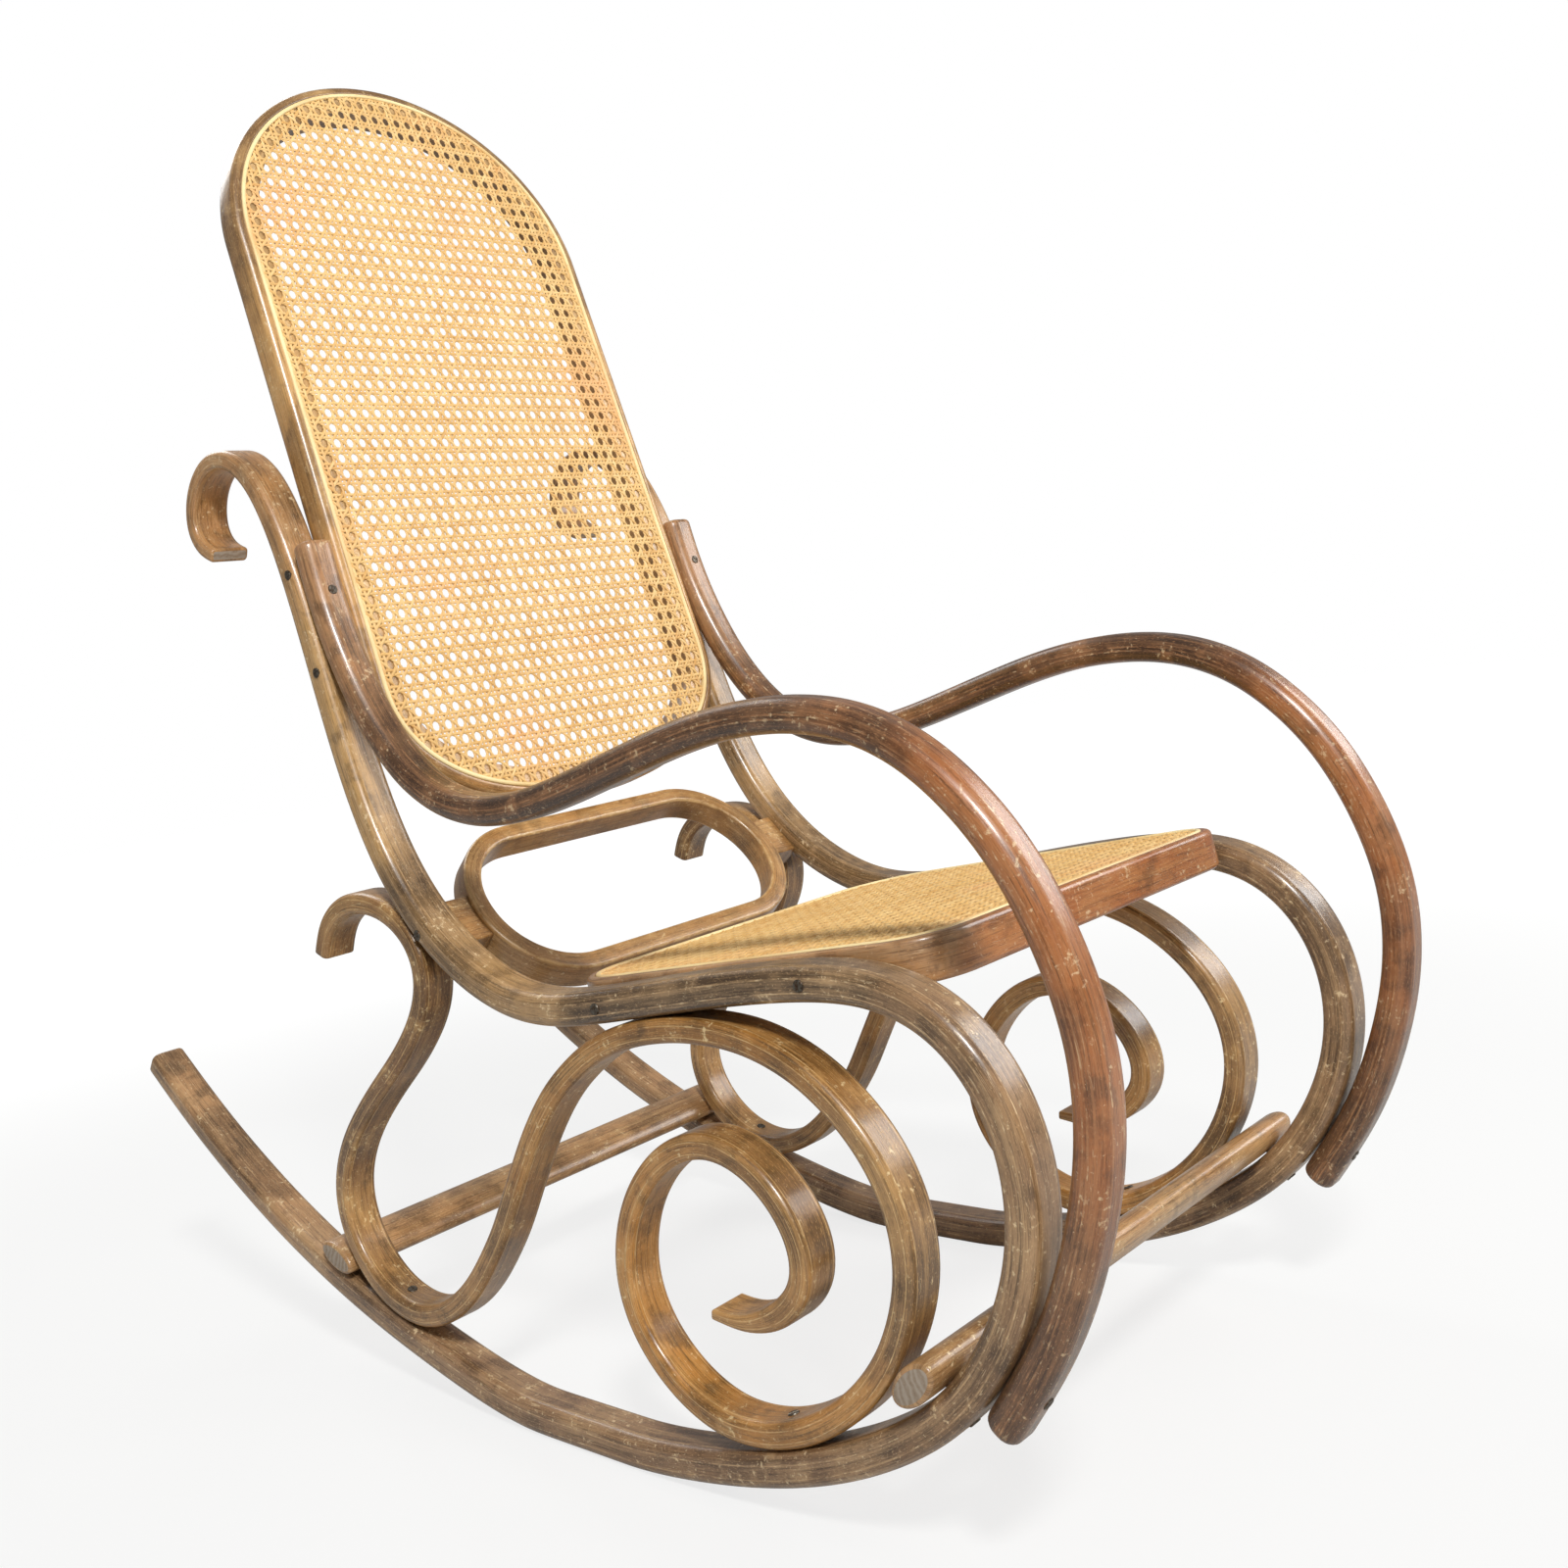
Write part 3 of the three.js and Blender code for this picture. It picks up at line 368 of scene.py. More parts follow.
@dataclass(frozen=True)
class BeechFinish:
    """Steam-bent beech, stained brown, varnished and worn by decades of use.

    The stain lies in streaks along the bend, darker in the pores and paler between them, and
    fine rays fleck it. Arrises have rubbed to bare wood in thin broken lines, nicks show as
    pale specks, and the varnish is satin, so lamps draw long soft lights along a rod.

    Attributes:
        name: Name of the material.
        deep: The stain in the pores, and the painted shade down the middle of a rod's side faces.
        body: The stain's usual tone where the piece starts.
        light: The stain where it is thin.
        rubbed: Wood where the stain has worn off.
        tones: Each further body tone, and where the fade to it starts and ends, in metres; some of
            them, and the seat frame's first tone, are painted light and shade.
        course: What those fades follow.
        wear: How much of the arrises has rubbed, from 0 to 1.
        nicks: How many nicks and drag marks show, from 0 to 1.
        crest: How clearly a thin pale line runs along the arrises, from 0 to 1.
        roughness: Middle roughness of the varnish.
        wander: How far the fades stray, in metres for a full swing of the broad pattern.
        drag_size: Length and width of the slanted drag marks' pattern.
        drag_slant: Slant of the drag marks, in radians.
        relief: Strength and depth of the grain's relief.
    """

    name: str
    deep: str
    body: str
    light: str
    rubbed: str
    tones: tuple[tuple[str, float, float], ...]
    course: Course = Course.RUN
    wear: float = 0.5
    nicks: float = 0.5
    crest: float = 0.0
    roughness: float = 0.34
    wander: float = 0.3
    drag_size: Pair = (0.05, 0.004)
    drag_slant: float = 0.06
    relief: Pair = (0.45, 0.35 * MM)

    def material(self) -> Material:
        """Builds the node material: body tones, layers of stain, worn places and varnish.

        Returns:
            The material.
        """
        coat = Coat(bpy.data.materials.new(self.name), gain=0.6)
        along, place = coat.along(), coat.place()
        patterns = {name: coat.noise(place, *sizes) for name, sizes in CLOUDS.items()}
        patterns |= {name: coat.streaks(along, *sizes) for name, sizes in STREAKS.items()}
        stray = coat.combined("SUBTRACT", patterns["broad"], 0.5)
        measured = {"Vector": along if self.course is Course.RUN else place}
        run = coat.add("SeparateXYZ", self.course.value % 3, measured)
        reach = coat.combined("ADD", run, coat.combined("MULTIPLY", stray, self.wander))
        colour = linear(self.body)
        for tone, start, end in self.tones:
            colour = coat.mixed(coat.stepped(reach, start, end), colour, tone)
        for name, start, full, most, tone in STAINS:
            amount = coat.stepped(patterns[name], start, full, most)
            colour = coat.mixed(amount, colour, getattr(self, tone))
        # Painted shade: a dark line in the deep tone down the middle of each rod's side faces,
        # broken up by the bands pattern.
        side_shade_breaks = coat.stepped(patterns["bands"], 0.42, 0.6, 0.5)
        painted_side_shade = coat.combined("MULTIPLY", coat.stepped(coat.mark("line"), 0.7, 1.0), side_shade_breaks)
        colour = coat.mixed(painted_side_shade, colour, self.deep)
        edge = coat.mark("edge")
        thin = coat.stepped(patterns["fine"], 0.35, 0.6, 0.3 + 0.4 * self.wear)
        thinned = coat.combined("MULTIPLY", coat.stepped(edge, 0.5, 1.0), thin)
        colour = coat.mixed(thinned, colour, self.light)
        marks = self.marks(coat, along, edge, patterns)
        colour = coat.mixed(marks, colour, self.rubbed)
        rough = coat.spread(patterns["fine"], self.roughness - 0.1, self.roughness + 0.12)
        sunk = coat.combined("ADD", coat.combined("MULTIPLY", patterns["pores"], 0.6), marks)
        height = coat.combined("SUBTRACT", patterns["grain"], sunk)
        return coat.finished(
            colour, rough, (height, *self.relief),
            IOR=1.5, Specular_IOR_Level=0.5, Coat_Weight=0.5, Coat_Roughness=0.2,
        )

    def marks(
        self, coat: Coat, along: Socket, edge: Socket, patterns: dict[str, Socket],
    ) -> Socket:
        """How far the stain is worn off: rubbed arrises, chips, drag marks and flakes.

        Args:
            coat: The material in the making.
            along: Run and girth.
            edge: How near an arris is.
            patterns: The wood's patterns.

        Returns:
            The strongest of the marks, from 0 to 1.
        """
        broad, fine, crumbs = (patterns[name] for name in ("broad", "fine", "crumbs"))
        arris = coat.combined(
            "MULTIPLY",
            coat.stepped(edge, 0.5, 1.0),
            coat.stepped(crumbs, 0.6 - 0.08 * self.wear, 0.66, 0.85),
            coat.stepped(broad, 0.4, 0.56),
        )
        crumbled = coat.stepped(crumbs, 0.4, 0.52, 0.6 * self.crest)
        crest = coat.combined("MULTIPLY", coat.stepped(edge, 0.8, 1.0), crumbled)
        rarer = 0.06 * self.nicks
        nick = coat.stepped(patterns["nicks"], 0.77 - rarer, 0.8 - rarer)
        speck = coat.stepped(patterns["specks"], 0.68, 0.74)
        chip = coat.combined("MAXIMUM", nick, speck)
        chips = coat.combined("MULTIPLY", chip, coat.stepped(broad, 0.4, 0.58, 0.8))
        slanted = coat.add("Mapping", "Vector", {
            "Vector": along,
            "Rotation": (0, 0, self.drag_slant),
            "Scale": (*(1 / size for size in self.drag_size), 1),
        })
        off_middle = coat.combined("SUBTRACT", coat.noise(slanted, 1.0, 1.0), 0.5)
        hair = coat.stepped(coat.combined("ABSOLUTE", off_middle, 0.0), 0.011, 0.004)
        drag = coat.combined("MULTIPLY", hair, coat.stepped(fine, 0.52, 0.6, 0.45 * self.nicks))
        lifted = coat.combined("ADD", patterns["mottle"], 0.5)
        flake = coat.combined("MULTIPLY", patterns["flakes"], lifted)
        flakes = coat.stepped(flake, 0.62, 0.7, 0.42 * self.nicks)
        chipped = coat.stepped(flake, 0.7, 0.715, 0.8 * self.nicks)
        return coat.combined("MAXIMUM", chips, drag, arris, crest, flakes, chipped)


@dataclass(frozen=True)
class EndGrainFinish:
    """Sawn end of a beech rod: greyed, open-pored, with growth arcs and fine checks."""

    name: str = "sawn_beech_end"
    grey: str = "a99b8b"
    brown: str = "7d6449"

    def material(self) -> Material:
        """Builds the node material on Object coordinates.

        Returns:
            The material.
        """
        coat = Coat(bpy.data.materials.new(self.name))
        place = coat.place()
        speck = coat.noise(place, 500.0, 4.0)
        rings = {"Scale": 60.0, "Distortion": 6.0, "Detail": 2.0, "Detail Scale": 2.0}
        arcs = coat.add("TexWave", "Fac", {"Vector": place, **rings}, wave_type="RINGS")
        both = coat.combined("MULTIPLY", speck, arcs)
        colour = coat.mixed(both, linear(self.grey), self.brown)
        return coat.finished(colour, 0.75, (speck, 0.5, 0.3 * MM))


@dataclass(frozen=True)
class CaneFinish:
    """Rattan cane strands: straw coloured, with a glossy skin on the outer side.

    Each strand has its own tone, leaf nodes darken it every hand's breadth or so, fine fibres
    run along it, and old stains tint patches of the panel.
    """

    name: str
    pale: str = "f5d292"
    straw: str = "eac079"
    tan: str = "cf9850"
    stain: str = "eeae78"

    def material(self) -> Material:
        """Builds the node material; fibres follow the strand by its UV map, in metres.

        Returns:
            The material.
        """
        coat = Coat(bpy.data.materials.new(self.name))
        along = coat.along()
        fibre = coat.streaks(along, 1 / 60, 1 / 3200, 2.0)
        leaf = coat.streaks(along, 1 / 9, 2.0, 4.0)
        patch = coat.noise(coat.place(), 8.0, 4.0)
        colour = coat.mixed(coat.mark("tone"), linear(self.pale), self.straw)
        layers = (
            (leaf, 0.42, 0.75, 1.0, self.tan),
            (fibre, 0.5, 0.8, 0.4, self.tan),
            (patch, 0.55, 0.72, 0.45, self.stain),
        )
        for pattern, start, full, most, tone in layers:
            amount = coat.stepped(pattern, start, full, most, fade=Fade.EVEN)
            colour = coat.mixed(amount, colour, tone)
        return coat.finished(colour, 0.48, (fibre, 0.25, 0.1 * MM))


@dataclass(frozen=True)
class SteelFinish:
    """Turned steel wood screws, dulled brown-grey by age, with rust in the slots."""

    name: str = "aged_screw_steel"
    steel: str = "6c665c"
    rust: str = "4a3524"

    def material(self) -> Material:
        """Builds the node material on Object coordinates.

        Returns:
            The material.
        """
        coat = Coat(bpy.data.materials.new(self.name))
        mottle = coat.noise(coat.place(), 420.0, 4.0)
        rusty = coat.stepped(mottle, 0.42, 0.66, fade=Fade.EVEN)
        colour = coat.mixed(rusty, linear(self.steel), self.rust)
        return coat.finished(colour, coat.spread(mottle, 0.34, 0.62), Metallic=0.85)


@dataclass
class Surface:
    """A closed surface on a grid, ready to become a mesh.

    Attributes:
        points: Rows by columns by 3; a row is one section.
        runs: Distance along the piece at each row, in metres.
        girth: Distance round the section at each column and at the first column again.
        marks: Values from 0 to 1 at the columns, by name: edge is how near an arris is, line how
            near the middle of a side, where a dark line of painted shade is drawn, and tone the
            strand's own tone.
        ring: True if the last row joins the first.
    """

    points: Array
    runs: Array
    girth: Array
    marks: dict[str, Array] = field(default_factory=dict)
    ring: bool = False

    def faces(self) -> Array:
        """Quads between neighbouring rows and columns, as four grid numbers each.

        Returns:
            One quad a row.
        """
        rows, columns = self.points.shape[:2]
        row = np.arange(rows if self.ring else rows - 1)[:, None]
        column = np.arange(columns)[None, :]
        after = (row + 1) % rows
        beside = (column + 1) % columns
        here, there = row * columns, after * columns
        corners = [here + column, here + beside, there + beside, there + column]
        return np.stack(corners, axis=-1).reshape(-1, 4)

    def uv(self) -> Array:
        """Run and girth at every corner of every quad, in the order of faces().

        Returns:
            Quads by 4 by 2.
        """
        columns = self.points.shape[1]
        low = self.runs if self.ring else self.runs[:-1]
        closing = [2 * self.runs[-1] - self.runs[-2]] if self.ring else []
        high = np.append(self.runs[1:], closing)
        near = np.broadcast_to(self.girth[:-1], (len(low), columns))
        far = np.broadcast_to(self.girth[1:], (len(low), columns))
        start = np.broadcast_to(low[:, None], near.shape)
        end = np.broadcast_to(high[:, None], near.shape)
        corners = [(start, near), (start, far), (end, far), (end, near)]
        return np.stack([np.stack(corner, axis=-1) for corner in corners], axis=2).reshape(-1, 4, 2)


def enclosed_volume(points: Array, quads: Array) -> float:
    """Volume enclosed by quads, by the divergence theorem; negative if they face inwards.

    Args:
        points: Vertices, one row each.
        quads: Four vertex numbers a row.

    Returns:
        The signed volume.
    """
    a, b, c, d = (points[quads[:, i]] for i in range(4))
    return float(np.einsum("ij,ij->", a, np.cross(b, c) + np.cross(c, d)) / 6)


def finish_piece(piece: Object, slot: Slot, *nodes: str) -> None:
    """Links a piece, lets it ride on the chair, and puts it in the place of its nodes.

    Args:
        piece: The new object.
        slot: The record's slot of the piece's finish; not used.
        *nodes: Names of the nodes that it stands for.
    """
    bpy.context.scene.collection.objects.link(piece)
    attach(piece, BODY)
    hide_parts(*nodes)
    log.info("%s: %d faces", piece.name, len(piece.data.polygons))


def mesh_piece(
    name: str, surfaces: list[Surface], materials: list[Material], sharp: float = 40.0,
) -> Object:
    """Makes one object of closed surfaces, with flat caps where a surface has ends.

    Args:
        name: Name of the object and its mesh.
        surfaces: The surfaces, all with the same marks.
        materials: The material of the sides and, if there is a second, that of the caps.
        sharp: Angle in degrees past which an edge is drawn sharp.

    Returns:
        The object, not yet linked.
    """
    points, polygons, uvs, caps = [], [], [], []
    start = 0
    for surface in surfaces:
        rows, columns = surface.points.shape[:2]
        flat = surface.points.reshape(-1, 3)
        quads, uv = surface.faces(), surface.uv()
        order = -1 if enclosed_volume(flat - flat.mean(0), quads) < 0 else 1
        points.append(flat)
        polygons.extend((quads[:, ::order] + start).tolist())
        uvs.append(uv[:, ::order].reshape(-1, 2))
        caps.extend([0] * len(quads))
        last = (rows - 1) * columns
        for end in () if surface.ring else (np.arange(columns)[::-1], last + np.arange(columns)):
            polygons.append((end[::order] + start).tolist())
            local = flat[end[::order]] - flat[end].mean(0)
            uvs.append(np.stack([local[:, 1] + local[:, 0], local[:, 2]], axis=1))
            caps.append(min(1, len(materials) - 1))
        start += len(flat)
    mesh = bpy.data.meshes.new(name)
    mesh.from_pydata(np.concatenate(points).tolist(), [], polygons)
    along = np.concatenate(uvs).astype(np.float32)
    mesh.uv_layers.new(name="along").data.foreach_set("uv", along.ravel())
    for key in surfaces[0].marks:
        values = [np.tile(surface.marks[key], len(surface.points)) for surface in surfaces]
        attribute = mesh.attributes.new(key, "FLOAT", "POINT")
        attribute.data.foreach_set("value", np.concatenate(values).astype(np.float32))
    for material in materials:
        mesh.materials.append(material)
    mesh.polygons.foreach_set("material_index", np.array(caps, np.int32))
    mesh.polygons.foreach_set("use_smooth", np.ones(len(caps), bool))
    mesh.set_sharp_from_angle(angle=math.radians(sharp))
    mesh.update()
    return bpy.data.objects.new(name, mesh)


class BentPath:
    """The middle line of a rod in the side plane, drawn through control places (y, z).

    Attributes:
        places: Control places, one a row.
        points: Points along the line, about SAMPLE_STEP apart.
        runs: Distance along the line at each point.
        spots: Spline parameter at each point.
        length: Length of the line.
    """

    def __init__(self, places: Array) -> None:
        """Takes the control places and traces the line."""
        self.places = np.array(places, float)
        self.trace()

    def at(self, spot: Array) -> Array:
        """Points of a uniform cubic B-spline.

        At parameter i + t the point is the sum of four neighbouring places weighted by
        (1-t)^3/6, (3t^3-6t^2+4)/6, (-3t^3+3t^2+3t+1)/6 and t^3/6. The first and last places
        are mirrored beyond the ends, so the line starts and ends on them.

        Args:
            spot: Parameters from 0 to the number of spans.

        Returns:
            One (y, z) row for each parameter.
        """
        before = 2 * self.places[0] - self.places[1]
        after = 2 * self.places[-1] - self.places[-2]
        padded = np.vstack([before, self.places, after])
        span = np.clip(np.floor(spot).astype(int), 0, len(self.places) - 2)
        t = (spot - span)[:, None]
        weights = (
            (1 - t) ** 3 / 6,
            (3 * t ** 3 - 6 * t ** 2 + 4) / 6,
            (-3 * t ** 3 + 3 * t ** 2 + 3 * t + 1) / 6,
            t ** 3 / 6,
        )
        return sum(weight * padded[span + k] for k, weight in enumerate(weights))

    def trace(self) -> None:
        """Lays points along the line and measures it."""
        gaps = np.linalg.norm(np.diff(self.places, axis=0), axis=1)
        steps = np.ceil(gaps / SAMPLE_STEP).astype(int)
        spots = [span + np.arange(count) / count for span, count in enumerate(steps)]
        self.spots = np.concatenate([*spots, [len(gaps)]])
        self.points = self.at(self.spots)
        self.runs = np.append(0, np.cumsum(np.linalg.norm(np.diff(self.points, axis=0), axis=1)))
        self.length = float(self.runs[-1])

    def sample(self, run: Array) -> Array:
        """Points at given distances along the line."""
        return self.at(np.interp(np.atleast_1d(run), self.runs, self.spots))

    def tangent(self, run: Array) -> Array:
        """Unit directions at given distances, from the points a short reach ahead and behind.

        Args:
            run: Distances along the line.

        Returns:
            One direction for each.
        """
        ahead = self.sample(np.atleast_1d(run) + TANGENT_REACH)
        way = ahead - self.sample(np.atleast_1d(run) - TANGENT_REACH)
        return unit(way)

    def normal(self, run: Array) -> Array:
        """The directions turned a quarter turn to the left."""
        tangent = self.tangent(run)
        return np.stack([-tangent[:, 1], tangent[:, 0]], axis=1)

    def nearest(
        self, places: Array, low: float = 0.0, high: float = math.inf,
    ) -> tuple[Array, Array]:
        """Finds the point of a stretch of the line nearest to each place.

        Args:
            places: (y, z) rows.
            low: Where the stretch starts.
            high: Where it ends.

        Returns:
            Distances, and how far along the line the nearest points are.
        """
        kept = (self.runs >= low) & (self.runs <= high)
        gaps = np.linalg.norm(np.atleast_2d(places)[:, None] - self.points[None, kept], axis=2)
        return gaps.min(axis=1), self.runs[kept][gaps.argmin(axis=1)]

    def seat_against(
        self, other: "BentPath", distance: float, seats: list[tuple[Array, float, float]],
    ) -> None:
        """Bends the line near some places until it stands at a distance from another line.

        Each round moves the control places away from the other line at the closest point by
        what is missing, times exp(-(run from that point / SEATING_SPREAD)^2).

        Args:
            other: The line that it is seated on.
            distance: Distance between the two middle lines where the rods touch.
            seats: A place near each contact, and the other line's stretch that it lies on.
        """
        for near, low, high in seats * SEATING_ROUNDS:
            middle = float(self.nearest(near)[1][0])
            last = min(self.length, middle + SEATING_SPREAD)
            tries = np.arange(max(0.0, middle - SEATING_SPREAD), last, SAMPLE_STEP)
            gaps, hits = other.nearest(self.sample(tries), low, high)
            best = int(gaps.argmin())
            away = unit(self.sample(tries[best])[0] - other.sample(hits[best])[0])
            along = self.nearest(self.places)[1] - tries[best]
            fade = np.exp(-((along / SEATING_SPREAD) ** 2))
            self.places = self.places + (distance - gaps[best]) * fade[:, None] * away
            self.trace()


def unit(way: Array) -> Array:
    """Directions scaled to a length of 1."""
    return way / np.linalg.norm(way, axis=-1, keepdims=True)


def side_places(shares: tuple[Pair, ...]) -> Array:
    """Places (y, z) in the side plane from shares of depth and height, before the frame's shift."""
    table = np.atleast_2d(np.array(shares, float))
    return (table - (MIDDLE_SHARE, 0.0)) * (CHAIR_DEPTH, CHAIR_HEIGHT)


@dataclass(frozen=True)
class RodSize:
    """A rod's section: width across the chair, thickness in the side plane, corner rounding."""

    width: float
    thickness: float
    corner_share: float
    end_round: float = 1.4 * MM
    lip: float = 1.4 * MM
    steps: int = 6

    def sections(self, inset: Array, width: Array, thickness: Array) -> Array:
        """Rounded oblong sections: four quarter circles joined by flats.

        Each quarter has one more point on the flat before it and one after it, a lip's width
        away, and each short side has a point in its middle, to carry the arris and side marks.

        Args:
            inset: How far each section is drawn in all round.
            width: Width of each section.
            thickness: Thickness of each section.

        Returns:
            Rows by columns by 2: across and thick.
        """
        wide, thick, drawn_in = width[:, None], thickness[:, None], inset[:, None]
        radius = self.corner_share * thick
        right_angle, count = math.pi / 2, self.steps + 1
        quarter = np.concatenate([[0.0], np.linspace(0, right_angle, count), [right_angle]])
        travel = np.concatenate([[-self.lip], np.zeros(count), [self.lip]])
        sections = []
        for turn, (side, rise) in enumerate(((1, -1), (1, 1), (-1, 1), (-1, -1))):
            angle = quarter + (turn - 1) * right_angle
            cosine, sine, bent = np.cos(angle), np.sin(angle), radius - drawn_in
            across = side * (wide / 2 - radius) + bent * cosine - travel * sine
            out = rise * (thick / 2 - radius) + bent * sine + travel * cosine
            sections.append(np.stack([across, out], axis=-1))
        right = (sections[0][:, -1:] + sections[1][:, :1]) / 2
        left = (sections[2][:, -1:] + sections[3][:, :1]) / 2
        halves = [sections[0], right, sections[1], sections[2], left, sections[3]]
        return np.concatenate(halves, axis=1)

    def marks(self) -> dict[str, Array]:
        """Which columns of sections() lie on an arris, and which in the middle of a side.

        Returns:
            Values by the names edge and line, 1 where a column lies there and 0 elsewhere.
        """
        quarter = self.steps + 3
        arris = np.zeros(quarter)
        arris[[1, -2]] = 1.0
        edge = np.concatenate([arris, [0.0], arris, arris, [0.0], arris])
        line = np.zeros(len(edge))
        line[[quarter, 3 * quarter + 1]] = 1.0
        return {"edge": edge, "line": line}


def around(section: Array) -> Array:
    """Distance round a closed section at each of its points and back at the first."""
    closed = np.vstack([section, section[:1]])
    return np.append(0, np.cumsum(np.linalg.norm(np.diff(closed, axis=0), axis=1)))


def rubbed_edge(section: Array) -> Array:
    """How much each point of a closed section stands out, from 0 to 1.

    It is the turn of the outline there over the length beside it, against the sharpest turn,
    smoothed with its neighbours.

    Args:
        section: (x, y) rows.

    Returns:
        One value for each point.
    """
    ahead = np.roll(section, -1, axis=0) - section
    behind = section - np.roll(section, 1, axis=0)
    turn = np.abs(ahead[:, 0] * behind[:, 1] - ahead[:, 1] * behind[:, 0])
    spans = np.linalg.norm(ahead, axis=1) * np.linalg.norm(behind, axis=1)
    bend = np.arcsin(np.clip(turn / np.maximum(spans, 1e-12), 0, 1))
    smooth = bend + 0.5 * (np.roll(bend, 1) + np.roll(bend, -1))
    return np.clip(smooth / max(float(smooth.max()), 1e-9), 0, 1)


def rounded_ends(length: float, radius: float, step: float) -> tuple[Array, Array]:
    """Where the rings of a rod with quarter-round ends lie, and how far each is drawn in.

    Near an end the ring at radius (1 - cos b) is drawn in by radius (1 - sin b).

    Args:
        length: Length of the rod.
        radius: Radius of the rounding.
        step: About how far apart the rings between the ends are.

    Returns:
        Distances from the start, and insets.
    """
    bend = np.linspace(0, math.pi / 2, END_RINGS)
    near, drawn_in = radius * (1 - np.cos(bend)), radius * (1 - np.sin(bend))
    between = np.linspace(radius, length - radius, int(length / step))[1:-1]
    runs = np.concatenate([near, between, length - near[::-1]])
    return runs, np.concatenate([drawn_in, np.zeros(len(between)), drawn_in[::-1]])


@dataclass(frozen=True)
class Curl:
    """The last part of a rod, whose section changes smoothly from a share of its run to its end."""

    width: float
    thickness: float
    start_share: float

    def sizes(self, share: Array, size: RodSize) -> tuple[Array, Array]:
        """Width and thickness at shares of the run, by 3s^2 - 2s^3 of the way to the end.

        Args:
            share: Shares of the run.
            size: The rod's plain section.

        Returns:
            Width and thickness at each.
        """
        s = np.clip((share - self.start_share) / (1 - self.start_share), 0, 1)
        s = s * s * (3 - 2 * s)
        width = size.width + (self.width - size.width) * s
        return width, size.thickness + (self.thickness - size.thickness) * s


def swept_rod(
    path: BentPath, side_x: float, size: RodSize, shift: float, curl: Curl | None = None,
) -> Surface:
    """A rounded oblong section carried along a path in the plane x = side_x.

    A point is the path's point plus its normal times the section's second coordinate, and
    side_x plus the first.

    Args:
        path: The rod's middle line.
        side_x: Place of the side plane.
        size: The section.
        shift: Added to y, from the side plane's own middle to the frame's.
        curl: How the section widens and thins towards the path's end.

    Returns:
        The surface.
    """
    runs, inset = rounded_ends(path.length, size.end_round, ROD_STEP)
    width, thickness = (np.full(len(runs), measure) for measure in (size.width, size.thickness))
    if curl:
        width, thickness = curl.sizes(runs / path.length, size)
    section = size.sections(inset, width, thickness)
    middle = path.sample(runs)
    normal = path.normal(runs)
    y = middle[:, None, 0] + normal[:, None, 0] * section[..., 1] + shift
    z = middle[:, None, 1] + normal[:, None, 1] * section[..., 1]
    points = np.stack([side_x + section[..., 0], y, z], axis=-1)
    return Surface(points, runs, around(section[len(runs) // 2]), size.marks())


@dataclass(frozen=True)
class FlatFrame:
    """A flat plane of the chair: its middle (y, z) and its lean back from upright.

    Local x is the chair's x, local y runs up the plane and local z stands out to the front.
    """

    y: float
    z: float
    lean: float

    def place(self, x: Array, up: Array, out: Array) -> Array:
        """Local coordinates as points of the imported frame.

        Args:
            x: Across the chair.
            up: Up the plane.
            out: Out of the plane to the front.

        Returns:
            The points, with their three coordinates in the last dimension.
        """
        sine, cosine = math.sin(self.lean), math.cos(self.lean)
        y = self.y + up * sine - out * cosine
        return np.stack(np.broadcast_arrays(x, y, self.z + up * cosine + out * sine), axis=-1)


